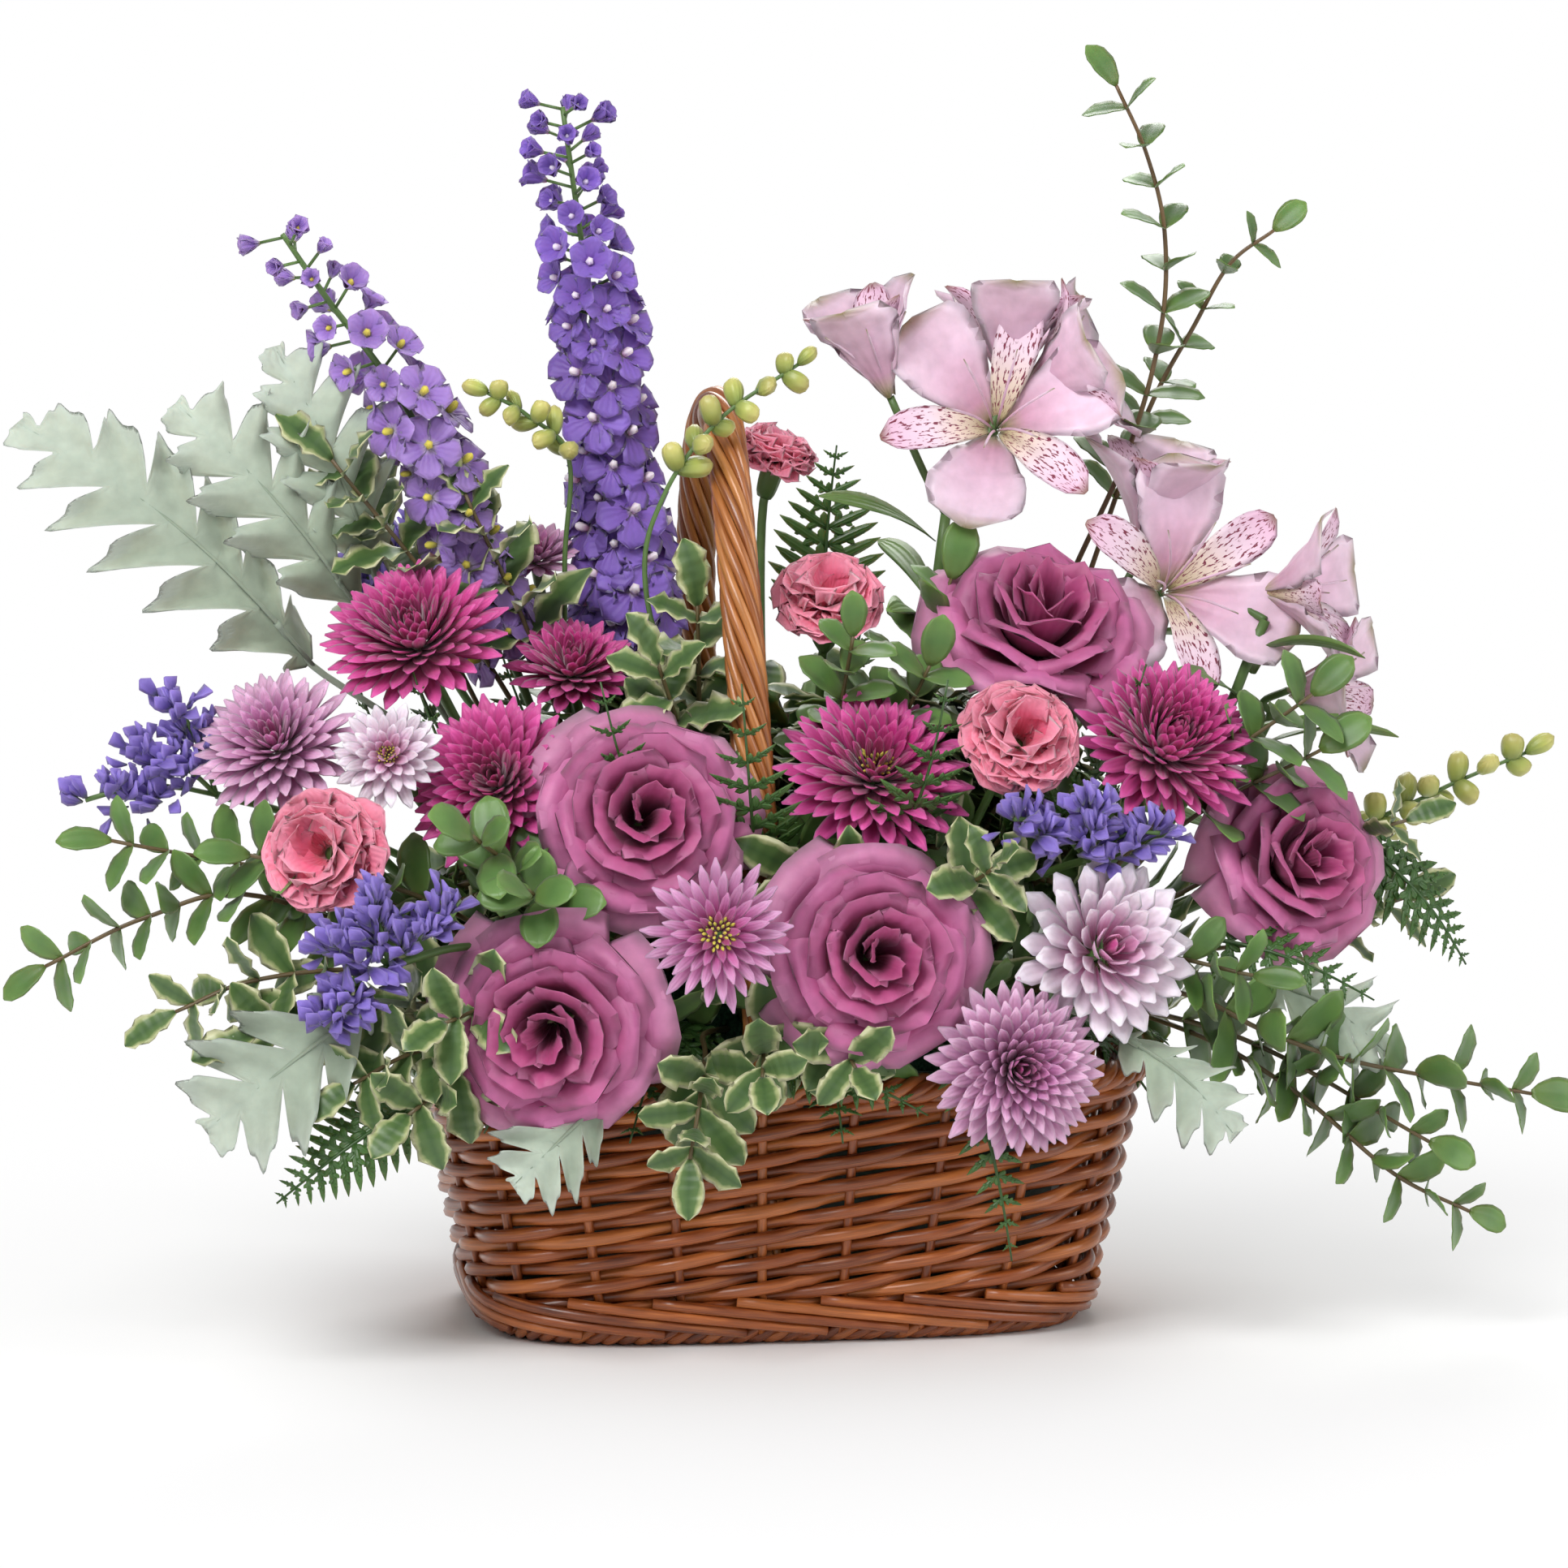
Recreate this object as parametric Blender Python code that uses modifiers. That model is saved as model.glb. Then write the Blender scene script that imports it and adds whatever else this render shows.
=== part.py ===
"""Flower basket arrangement: a rectangular willow basket with one roped handle, a liner and a block
of floral foam, and cut flowers and foliage whose stems stand in holes in the foam.

Metres, +Z up. The origin is the middle of the basket's base, on the surface that it stands on. X runs
along the basket, -Y is its front.
"""

import math

import bmesh
import bpy
import numpy as np
from mathutils import Matrix, Vector

# Driving dimensions
BASE_HALF = (0.106, 0.0675)  # outside of the basket at the foot, half length and half width
RIM_HALF = (0.126, 0.089)  # outside at the rim
RIM_HEIGHT = 0.092
PLAN_POWER = 4.0  # exponent of the superellipse that the basket follows in plan
FLARE_POWER = 0.8
WALL_THICK = 0.005
FOOT_HEIGHT = 0.009
RIM_RADIUS = 0.005
PANEL_THICK = 0.005
GAP = 0.0003
HANDLE_CORE_RADIUS = 0.0042
HANDLE_RADIUS = 0.007
WRAP_WALL = 0.0020
LINER_FOOT_HALF = (0.092, 0.050)
LINER_RIM_HALF = (0.108, 0.064)
LINER_BOTTOM, LINER_TOP = 0.0055, 0.094
LINER_THICK = 0.0015
FOAM_HALF = (0.079, 0.045)
FOAM_SHIFT = -0.007  # the foam stands to one end, which leaves a gap to pour water into
FOAM_BOTTOM, FOAM_TOP = 0.0078, 0.128
SOCKET_PLAY = 0.0006
PLAN_STEPS = 24

# Half of the handle, from inside the front of the wall up to the top: the back half mirrors it in Y.
HANDLE_ROUTE = (
    (-0.012, -0.062, 0.028),
    (-0.014, -0.0735, 0.095),
    (-0.016, -0.075, 0.170),
    (-0.0185, -0.070, 0.220),
    (-0.0205, -0.057, 0.268),
    (-0.021, -0.031, 0.308),
    (-0.020, 0.0, 0.321),
)

# Flower heads: name, middle of the head, the way it faces, its radius.
ROSES = (
    ("rose_front_left", (-0.093, -0.118, 0.120), (-0.25, -0.95, -0.05), 0.035),
    ("rose_left", (-0.058, -0.098, 0.189), (0.0, -0.95, 0.25), 0.034),
    ("rose_top", (0.088, -0.046, 0.250), (0.1, -0.65, 0.75), 0.034),
    ("rose_front", (0.018, -0.120, 0.143), (0.05, -0.97, 0.15), 0.035),
    ("rose_right", (0.177, -0.066, 0.165), (0.35, -0.85, 0.25), 0.031),
)
CHRYSANTHEMUMS = (
    ("mum_magenta_top_left", (-0.130, -0.035, 0.246), (-0.25, -0.65, 0.7), 0.030, "mum_magenta"),
    ("mum_magenta_half_hidden", (-0.074, -0.022, 0.233), (0.0, -0.6, 0.8), 0.019, "mum_magenta"),
    ("mum_magenta_left", (-0.106, -0.075, 0.199), (-0.3, -0.85, 0.4), 0.028, "mum_magenta"),
    ("mum_magenta_middle", (0.024, -0.078, 0.201), (0.0, -0.75, 0.66), 0.030, "mum_magenta"),
    ("mum_magenta_right", (0.128, -0.070, 0.209), (0.2, -0.75, 0.6), 0.031, "mum_magenta"),
    ("mum_lavender_far_left", (-0.180, -0.060, 0.212), (-0.3, -0.75, 0.6), 0.024, "mum_lavender"),
    ("mum_bicolour", (-0.143, -0.078, 0.209), (-0.1, -0.9, 0.3), 0.015, "mum_lavender"),
    ("mum_spider", (-0.038, -0.136, 0.154), (-0.1, -0.95, 0.2), 0.022, "mum_lavender"),
    ("mum_spoon", (0.098, -0.110, 0.142), (0.2, -0.9, 0.3), 0.029, "mum_lavender"),
    ("mum_lavender_front", (0.066, -0.122, 0.104), (0.1, -0.97, 0.1), 0.025, "mum_lavender"),
    ("mum_pale_back", (-0.082, 0.022, 0.268), (0.0, -0.5, 0.85), 0.014, "mum_lavender"),
)
CARNATIONS = (
    ("carnation_left", (-0.166, -0.090, 0.178), (-0.5, -0.8, 0.2), 0.019),
    ("carnation_middle", (0.015, -0.030, 0.256), (0.0, -0.6, 0.8), 0.018),
    ("carnation_right", (0.072, -0.092, 0.213), (0.1, -0.85, 0.5), 0.017),
    ("carnation_back", (0.006, 0.035, 0.302), (0.25, -0.2, 0.9), 0.013),
)
# Branched flowers: name, the fork, then each floret's throat, facing and radius.
ALSTROEMERIAS = (
    (
        "alstroemeria_top",
        (0.061, 0.0, 0.282),
        (
            ((0.031, -0.004, 0.352), (-0.33, -0.1, 0.94), 0.024),
            ((0.076, -0.026, 0.325), (-0.1, -0.9, 0.4), 0.028),
            ((0.087, 0.012, 0.356), (0.1, 0.2, 0.95), 0.024),
            ((0.117, 0.0, 0.338), (0.85, -0.2, 0.4), 0.022),
        ),
    ),
    (
        "alstroemeria_right",
        (0.118, 0.0, 0.252),
        (
            ((0.147, -0.035, 0.264), (0.25, -0.9, 0.3), 0.023),
            ((0.137, 0.0, 0.299), (0.15, -0.1, 0.95), 0.022),
        ),
    ),
    ("alstroemeria_far_right", (0.172, -0.020, 0.245), (((0.198, -0.024, 0.257), (0.9, -0.4, 0.1), 0.023),)),
    ("alstroemeria_low_right", (0.182, 0.014, 0.208), (((0.211, -0.004, 0.217), (0.9, -0.4, 0.0), 0.021),)),
)
# Spires: name, the stem above the foam, how far down from the tip the florets reach, widest floret.
LARKSPURS = (
    (
        "larkspur_lavender",
        ((-0.080, 0.006, 0.200), (-0.104, 0.003, 0.260), (-0.128, 0.0, 0.319), (-0.157, 0.0, 0.360),
         (-0.172, 0.0, 0.382)),
        0.150,
        0.016,
        9,
    ),
    (
        "larkspur_violet",
        ((-0.046, 0.022, 0.200), (-0.051, 0.023, 0.263), (-0.059, 0.024, 0.332), (-0.072, 0.022, 0.425)),
        0.165,
        0.020,
        13,
    ),
)
# Statice: name, the stem, then the tips of its branches.
STATICES = (
    (
        "statice_left",
        ((-0.120, -0.016, 0.158), (-0.170, -0.028, 0.182), (-0.199, -0.042, 0.192)),
        ((-0.244, -0.050, 0.192), (-0.226, -0.050, 0.208), (-0.213, -0.048, 0.224)),
    ),
    (
        "statice_low_left",
        ((-0.070, -0.064, 0.134), (-0.116, -0.098, 0.146), (-0.146, -0.112, 0.142)),
        ((-0.129, -0.118, 0.160), (-0.152, -0.118, 0.163), (-0.166, -0.116, 0.150), (-0.168, -0.115, 0.124)),
    ),
    (
        "statice_right",
        ((0.060, -0.034, 0.146), (0.084, -0.074, 0.164), (0.094, -0.100, 0.172)),
        ((0.066, -0.112, 0.188), (0.092, -0.110, 0.190), (0.118, -0.104, 0.181)),
    ),
    (
        "statice_back",
        ((-0.084, 0.050, 0.180), (-0.108, 0.062, 0.220), (-0.124, 0.070, 0.250)),
        ((-0.136, 0.072, 0.266), (-0.120, 0.084, 0.270), (-0.146, 0.060, 0.254)),
    ),
)
# Sprays with oval leaves or buds: name, stem, leaf length, width, thickness, pairs, material, colour.
SPRAYS = (
    ("bud_spray_left", ((-0.070, 0.004, 0.200), (-0.074, 0.002, 0.262), (-0.073, -0.004, 0.303),
                        (-0.088, -0.008, 0.319), (-0.102, -0.010, 0.327)), 0.011, 0.007, 0.007, 3, 0.035, "bud"),
    ("bud_spray_middle", ((-0.036, -0.036, 0.200), (-0.051, -0.044, 0.262), (-0.045, -0.046, 0.293),
                          (-0.026, -0.046, 0.319), (0.002, -0.044, 0.338)), 0.011, 0.008, 0.008, 4, 0.055, "bud"),
    ("bud_spray_right", ((0.126, 0.062, 0.128), (0.218, 0.030, 0.165), (0.252, 0.018, 0.182),
                         (0.276, 0.016, 0.192)), 0.013, 0.008, 0.008, 4, 0.055, "bud"),
    ("eucalyptus_top", ((0.100, 0.026, 0.230), (0.130, 0.024, 0.300), (0.142, 0.022, 0.345),
                        (0.143, 0.021, 0.380), (0.136, 0.020, 0.408), (0.125, 0.020, 0.432)),
     0.020, 0.013, 0.0012, 6, 0.110, "eucalyptus"),
    ("eucalyptus_top_side", ((0.112, 0.046, 0.230), (0.140, 0.044, 0.310), (0.158, 0.040, 0.346),
                             (0.170, 0.036, 0.368), (0.185, 0.032, 0.380)), 0.019, 0.011, 0.0012, 4, 0.080,
     "eucalyptus"),
    ("eucalyptus_right", ((0.092, -0.062, 0.124), (0.130, -0.088, 0.123), (0.158, -0.094, 0.110),
                          (0.190, -0.096, 0.099), (0.252, -0.092, 0.086)), 0.024, 0.014, 0.0012, 5, 0.105,
     "eucalyptus"),
    ("eucalyptus_trailing", ((0.100, -0.020, 0.112), (0.138, -0.072, 0.106), (0.172, -0.082, 0.086),
                             (0.205, -0.086, 0.058), (0.232, -0.086, 0.044)), 0.022, 0.011, 0.0012, 4, 0.080,
     "eucalyptus"),
    ("eucalyptus_left", ((-0.114, -0.040, 0.128), (-0.186, -0.066, 0.160), (-0.225, -0.070, 0.154),
                         (-0.259, -0.070, 0.138)), 0.022, 0.011, 0.0012, 4, 0.080, "eucalyptus"),
    ("pittosporum_left", ((-0.102, -0.060, 0.124), (-0.150, -0.080, 0.136), (-0.190, -0.086, 0.134),
                          (-0.216, -0.086, 0.124)), 0.026, 0.014, 0.0014, 4, 0.060, "pittosporum"),
    ("pittosporum_rim_left", ((-0.092, -0.070, 0.112), (-0.134, -0.098, 0.111), (-0.158, -0.110, 0.102)),
     0.026, 0.014, 0.0014, 2, 0.026, "pittosporum"),
    ("pittosporum_front", ((-0.036, -0.084, 0.112), (-0.038, -0.102, 0.108), (-0.042, -0.118, 0.094),
                           (-0.046, -0.124, 0.076)), 0.026, 0.014, 0.0014, 4, 0.038, "pittosporum"),
    ("pittosporum_back_left", ((-0.096, 0.026, 0.200), (-0.128, 0.020, 0.262), (-0.146, 0.014, 0.294)),
     0.028, 0.015, 0.0014, 4, 0.060, "pittosporum"),
    ("pittosporum_right", ((0.116, -0.008, 0.122), (0.180, -0.012, 0.130), (0.224, -0.014, 0.144)),
     0.026, 0.014, 0.0014, 3, 0.050, "pittosporum"),
)
# Cut leaves: name, stalk, the point the blade reaches, blade width, lobes a side, which way it faces.
LOBED_LEAVES = (
    ("dusty_miller_left", ((-0.112, 0.0, 0.190), (-0.163, -0.004, 0.232)), (-0.262, 0.0, 0.316), 0.056, 5,
     (0.3, -0.9, 0.4), "dusty_miller"),
    ("dusty_miller_right", ((0.084, -0.074, 0.118), (0.104, -0.106, 0.112)), (0.140, -0.122, 0.080), 0.034, 4,
     (0.2, -0.8, 0.5), "dusty_miller"),
    ("dusty_miller_far_right", ((0.120, -0.060, 0.124), (0.157, -0.074, 0.126)), (0.202, -0.080, 0.100), 0.036,
     4, (0.2, -0.7, 0.6), "dusty_miller"),
    ("fern_left", ((-0.108, -0.076, 0.104), (-0.140, -0.104, 0.092)), (-0.184, -0.110, 0.062), 0.036, 7,
     (-0.2, -0.9, 0.3), "fern"),
    ("fern_right", ((0.124, -0.026, 0.140), (0.204, -0.028, 0.168)), (0.244, -0.028, 0.122), 0.040, 7,
     (0.3, -0.8, 0.4), "fern"),
    ("fern_back", ((0.020, 0.070, 0.170), (0.030, 0.086, 0.230)), (0.036, 0.094, 0.300), 0.050, 7,
     (0.0, 0.95, 0.3), "fern"),
)

# How a head is turned: (share of the radius out, share of the radius forward), from its back to its tip.
ROSE_PROFILE = ((0, -0.62), (0.45, -0.56), (0.86, -0.25), (1.0, 0.12), (0.75, 0.44), (0, 0.60))
MUM_PROFILE = ((0, -0.36), (0.55, -0.30), (1.0, -0.06), (0.96, 0.06), (0.60, 0.24), (0, 0.34))
CARNATION_PROFILE = ((0, -1.1), (0.30, -1.0), (0.36, -0.40), (1.0, 0.0), (0.80, 0.34), (0, 0.46))
TRUMPET_PROFILE = ((0, -1.3), (0.16, -1.2), (0.32, -0.6), (1.0, 0.05), (0.9, 0.16), (0.28, -0.25), (0, -0.4))

# colour, roughness
FINISHES = {
    "willow": ((0.33, 0.12, 0.045), 0.35),
    "willow_roped": ((0.48, 0.22, 0.09), 0.4),
    "liner": ((0.02, 0.06, 0.03), 0.4),
    "foam": ((0.05, 0.19, 0.10), 0.95),
    "rose": ((0.66, 0.30, 0.46), 0.55),
    "mum_magenta": ((0.52, 0.05, 0.26), 0.55),
    "mum_lavender": ((0.66, 0.44, 0.66), 0.55),
    "carnation": ((0.82, 0.33, 0.36), 0.6),
    "alstroemeria": ((0.76, 0.55, 0.68), 0.5),
    "larkspur": ((0.36, 0.24, 0.62), 0.55),
    "statice": ((0.22, 0.16, 0.50), 0.7),
    "bud": ((0.45, 0.50, 0.16), 0.5),
    "eucalyptus": ((0.22, 0.36, 0.17), 0.5),
    "pittosporum": ((0.24, 0.34, 0.16), 0.4),
    "dusty_miller": ((0.50, 0.54, 0.50), 0.85),
    "fern": ((0.12, 0.26, 0.08), 0.45),
}


def cleared_scene():
    for thing in list(bpy.data.objects):
        bpy.data.objects.remove(thing, do_unlink=True)


def new_collection(name, hidden=False):
    made = bpy.data.collections.new(name)
    bpy.context.scene.collection.children.link(made)
    made.hide_render = hidden
    return made


def finish(name):
    """A Principled material in one of the object's finishes."""
    colour, roughness = FINISHES[name]
    made = bpy.data.materials.get(name) or bpy.data.materials.new(name)
    made.use_nodes = True
    shader = made.node_tree.nodes["Principled BSDF"]
    shader.inputs["Base Color"].default_value = (*colour, 1.0)
    shader.inputs["Roughness"].default_value = roughness
    shader.inputs["Metallic"].default_value = 0.0
    return made


def added(name, mesh, collection, finish_name):
    made = bpy.data.objects.new(name, mesh)
    collection.objects.link(made)
    if finish_name:
        mesh.materials.clear()
        mesh.materials.append(finish(finish_name))
    if collection is HELPERS or collection is SOCKETS:
        made.hide_render = True
        made.display_type = "WIRE"
    return made


def plan_outline(half_x, half_y, power=PLAN_POWER, steps=PLAN_STEPS):
    """Points of a superellipse: each coordinate is its half size times a rounded-off cosine or sine."""
    turn = np.arange(steps) * 2 * math.pi / steps
    c, s = np.cos(turn), np.sin(turn)
    return np.stack(
        [half_x * np.sign(c) * np.abs(c) ** (2 / power), half_y * np.sign(s) * np.abs(s) ** (2 / power)], axis=1
    )


def basket_half(z):
    """Outside half sizes of the basket at height z."""
    share = (max(z, 0.0) / RIM_HEIGHT) ** FLARE_POWER
    return tuple(b + (r - b) * share for b, r in zip(BASE_HALF, RIM_HALF))


def loft(name, rings, closed_bottom=False, closed_top=False):
    """An open surface through rings of points, all with the same number of points."""
    bm = bmesh.new()
    rows = [[bm.verts.new(p) for p in ring] for ring in rings]
    count = len(rows[0])
    for low, high in zip(rows, rows[1:]):
        for i in range(count):
            bm.faces.new((low[i], low[(i + 1) % count], high[(i + 1) % count], high[i]))
    if closed_bottom:
        bm.faces.new(list(reversed(rows[0])))
    if closed_top:
        bm.faces.new(rows[-1])
    mesh = bpy.data.meshes.new(name)
    bm.to_mesh(mesh)
    bm.free()
    return mesh


def plan_ring(half_x, half_y, z, shift=0.0):
    return [(x + shift, y, z) for x, y in plan_outline(half_x, half_y)]


def solidify(thing, thickness):
    """Gives an outward-facing open surface its wall, on the inside."""
    wall = thing.modifiers.new("wall", "SOLIDIFY")
    wall.thickness = thickness
    wall.offset = -1.0
    wall.use_even_offset = True


def smooth_route(points, steps):
    """A Catmull-Rom curve through the points, with this many steps between each pair."""
    p = np.array(points, float)
    p = np.vstack([2 * p[0] - p[1], p, 2 * p[-1] - p[-2]])
    out = []
    for a, b, c, d in zip(p, p[1:], p[2:], p[3:]):
        t = np.arange(steps)[:, None] / steps
        out.append(0.5 * (2 * b + (c - a) * t + (2 * a - 5 * b + 4 * c - d) * t**2 + (3 * b - a - 3 * c + d) * t**3))
    return np.vstack(out + [p[-2][None]])


def tube_mesh(name, points, radius, ring=0, cyclic=False, caps=True, tip=1.0):
    """A tube along a polyline, made from a bevelled curve, tapering to a share of its radius."""
    data = bpy.data.curves.new(name, "CURVE")
    data.dimensions = "3D"
    data.bevel_depth = radius
    data.bevel_resolution = ring
    data.use_fill_caps = caps
    spline = data.splines.new("POLY")
    spline.points.add(len(points) - 1)
    for i, (point, p) in enumerate(zip(spline.points, points)):
        point.co = (*p, 1.0)
        point.radius = 1.0 + (tip - 1.0) * i / (len(points) - 1)
    spline.use_cyclic_u = cyclic
    thing = bpy.data.objects.new(name, data)
    bpy.context.scene.collection.objects.link(thing)
    graph = bpy.context.evaluated_depsgraph_get()
    mesh = bpy.data.meshes.new_from_object(thing.evaluated_get(graph))
    bpy.data.objects.remove(thing, do_unlink=True)
    bm = bmesh.new()
    bm.from_mesh(mesh)
    bmesh.ops.remove_doubles(bm, verts=bm.verts, dist=1e-6)
    bmesh.ops.recalc_face_normals(bm, faces=bm.faces)
    bm.to_mesh(mesh)
    bm.free()
    mesh.name = name
    return mesh


def frame_for(along, normal):
    """A rotation whose third axis is along, and whose second leans to normal."""
    z = Vector(along).normalized()
    y = Vector(normal) - z * z.dot(Vector(normal))
    y = y.normalized() if y.length > 1e-6 else z.orthogonal().normalized()
    x = y.cross(z)
    return Matrix((x, y, z)).transposed().to_4x4()


def add_leaf(bm, base, along, normal, length, width, thickness, segments=4):
    """A flat or plump ellipsoid from its base, along its length: a leaf, a bud or a floret."""
    middle = Vector(base) + Vector(along).normalized() * (0.46 * length)
    sizes = Matrix.Diagonal((0.5 * width, 0.5 * thickness, 0.5 * length, 1.0))
    place = Matrix.Translation(middle) @ frame_for(along, normal) @ sizes
    bmesh.ops.create_uvsphere(bm, u_segments=segments, v_segments=2, radius=1.0, matrix=place)


def add_head(bm, middle, facing, radius, profile, lobes, depth, segments):
    """A turned head: a sphere whose rows are moved to a profile, its rim waved into lobes."""
    rows = len(profile) - 1
    made = bmesh.ops.create_uvsphere(bm, u_segments=segments, v_segments=rows, radius=1.0)
    place = Matrix.Translation(Vector(middle)) @ frame_for(facing, (0, 0, 1))
    for vert in made["verts"]:
        row = round(math.acos(max(-1.0, min(1.0, -vert.co.z))) / math.pi * rows)
        out, forward = profile[row]
        turn = math.atan2(vert.co.y, vert.co.x)
        wave = 1.0 - depth * out**2 * (0.5 - 0.5 * math.cos(lobes * turn))
        vert.co = place @ Vector(
            (radius * out * wave * math.cos(turn), radius * out * wave * math.sin(turn), radius * forward)
        )


def mesh_of(bm, name):
    mesh = bpy.data.meshes.new(name)
    bm.to_mesh(mesh)
    bm.free()
    return mesh


def joined(name, stem_mesh, grown, finish_name):
    """The stem's object, with what grows on it joined by a Boolean union."""
    thing = added(name, stem_mesh, PARTS, finish_name)
    tool = added(name + "_grown", grown, HELPERS, finish_name)
    union = thing.modifiers.new("grown", "BOOLEAN")
    union.operation = "UNION"
    union.solver = "EXACT"
    union.use_self = True
    union.object = tool
    return thing


def stem_foot(x, y, z, share=0.38):
    """Where a stem ends inside the foam: nearer the middle than the flower, so that stems fan out."""
    foot_x = max(-0.072, min(0.058, share * x))
    foot_y = max(-0.034, min(0.034, (share - 0.06) * y))
    return (foot_x, foot_y, 0.106 if z < 0.17 else 0.094)


def stem_points(middle, facing, back):
    """A stem from the foam up into the back of a head, bending to the way the head faces."""
    top = np.array(middle) - np.array(facing) / np.linalg.norm(facing) * back
    bend = top - np.array(facing) / np.linalg.norm(facing) * 0.018
    foot = np.array(stem_foot(*middle))
    t = np.linspace(0, 1, 5)[:, None]
    return (1 - t) ** 2 * foot + 2 * t * (1 - t) * bend + t**2 * top


def socket(name, points, radius):
    """The hole that a stem makes in the foam: the stem's own route, a little wider and deeper."""
    inward = points[0] - points[1]
    inward = inward / np.linalg.norm(inward) * 0.0008
    route = np.vstack([points[0] + inward, points[1:]])
    added(name + "_socket", tube_mesh(name + "_socket", route, radius + SOCKET_PLAY), SOCKETS, None)


def make_basket():
    board = [plan_ring(BASE_HALF[0] - 0.0098, BASE_HALF[1] - 0.0098, z) for z in (0.0, PANEL_THICK)]
    added("base_panel", loft("base_panel", board, True, True), PARTS, "willow")

    radius = 0.5 * FOOT_HEIGHT
    ring = plan_ring(BASE_HALF[0] - radius, BASE_HALF[1] - radius, radius)
    added("foot_border", tube_mesh("foot_border", ring, radius, ring=1, cyclic=True), PARTS, "willow")

    low, high = FOOT_HEIGHT + GAP, RIM_HEIGHT - RIM_RADIUS - GAP
    rings = [plan_ring(*basket_half(z), z) for z in np.linspace(low, high, 4)]
    solidify(added("wall", loft("wall", rings), PARTS, "willow"), WALL_THICK)

    inset = 0.5 * WALL_THICK
    ring = plan_ring(RIM_HALF[0] - inset, RIM_HALF[1] - inset, RIM_HEIGHT)
    added("rim_border", tube_mesh("rim_border", ring, RIM_RADIUS, ring=1, cyclic=True), PARTS, "willow")


def make_handle():
    half = list(HANDLE_ROUTE)
    route = smooth_route(half + [(x, -y, z) for x, y, z in reversed(half[:-1])], 2)
    added("handle_core", tube_mesh("handle_core", route, HANDLE_CORE_RADIUS, ring=1), PARTS, "willow")
    wrap = tube_mesh("handle_wrap", route, HANDLE_RADIUS, ring=1, caps=False)
    solidify(added("handle_wrap", wrap, PARTS, "willow_roped"), WRAP_WALL)


def make_liner_and_foam():
    rings = []
    for share in (0.0, 0.5, 1.0):
        half = [f + (r - f) * share for f, r in zip(LINER_FOOT_HALF, LINER_RIM_HALF)]
        rings.append(plan_ring(*half, LINER_BOTTOM + (LINER_TOP - LINER_BOTTOM) * share))
    solidify(added("liner", loft("liner", rings, closed_bottom=True), PARTS, "liner"), LINER_THICK)

    edge = 0.006
    sections = (
        (0.0, FOAM_BOTTOM),
        (0.0, FOAM_TOP - edge),
        (edge, FOAM_TOP),
    )
    rings = [plan_ring(FOAM_HALF[0] - inset, FOAM_HALF[1] - inset, z, FOAM_SHIFT) for inset, z in sections]
    foam = added("foam", loft("foam", rings, True, True), PARTS, "foam")
    holes = foam.modifiers.new("stem_holes", "BOOLEAN")
    holes.operation = "DIFFERENCE"
    holes.solver = "EXACT"
    holes.operand_type = "COLLECTION"
    holes.collection = SOCKETS


def make_flower(name, middle, facing, radius, profile, lobes, depth, segments, stem, finish_name):
    bm = bmesh.new()
    add_head(bm, middle, facing, radius, profile, lobes, depth, segments)
    points = stem_points(middle, facing, -0.6 * profile[0][1] * radius)
    joined(name, tube_mesh(name, points, stem), mesh_of(bm, name + "_head"), finish_name)
    socket(name, points, stem)


def make_alstroemeria(name, fork, florets):
    bm = bmesh.new()
    foot = stem_foot(*fork)
    bend = (fork[0] * 0.8, fork[1] * 0.8, fork[2] * 0.7)
    points = smooth_route((foot, bend, fork), 3)
    for throat, facing, radius in florets:
        add_head(bm, throat, facing, radius, TRUMPET_PROFILE, 6, 0.3, 12)
        tail = Vector(throat) - Vector(facing).normalized() * (1.2 * radius)
        length = (tail - Vector(fork)).length
        add_leaf(bm, fork, tail - Vector(fork), (0, 0, 1), 1.12 * length, 0.004, 0.004)
    joined(name, tube_mesh(name, points, 0.0022), mesh_of(bm, name + "_florets"), "alstroemeria")
    socket(name, points, 0.0022)


def make_larkspur(name, stem, reach, widest, florets):
    """Florets stand round the upper stem a golden angle apart, smaller towards the tip."""
    route = smooth_route((stem_foot(*stem[0], 0.55), *stem), 2)
    step = np.linalg.norm(np.diff(route, axis=0), axis=1)
    from_tip = np.concatenate([np.cumsum(step[::-1])[::-1], [0.0]])
    bm = bmesh.new()
    for i in range(florets):
        share = (i + 0.3) / florets
        below = reach * share
        at = [np.interp(-below, -from_tip, route[:, axis]) for axis in range(3)]
        turn = i * math.radians(137.5)
        out = (math.cos(turn), math.sin(turn), 0.35)
        size = widest * (0.45 + 0.55 * share)
        add_leaf(bm, at, out, (0, 0, 1), size, 0.75 * size, 0.55 * size)
    joined(name, tube_mesh(name, route, 0.0018, tip=0.6), mesh_of(bm, name + "_florets"), "larkspur")
    socket(name, route, 0.0018)


def make_statice(name, stem, tips):
    route = smooth_route((stem_foot(*stem[0], 0.55), *stem), 2)
    bm = bmesh.new()
    for tip in tips:
        along = Vector(tip) - Vector(stem[-1])
        add_leaf(bm, stem[-1], along, (0, -1, 0), 1.1 * along.length, 0.013, 0.011, 6)
    joined(name, tube_mesh(name, route, 0.0014), mesh_of(bm, name + "_tufts"), "statice")
    socket(name, route, 0.0014)


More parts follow.
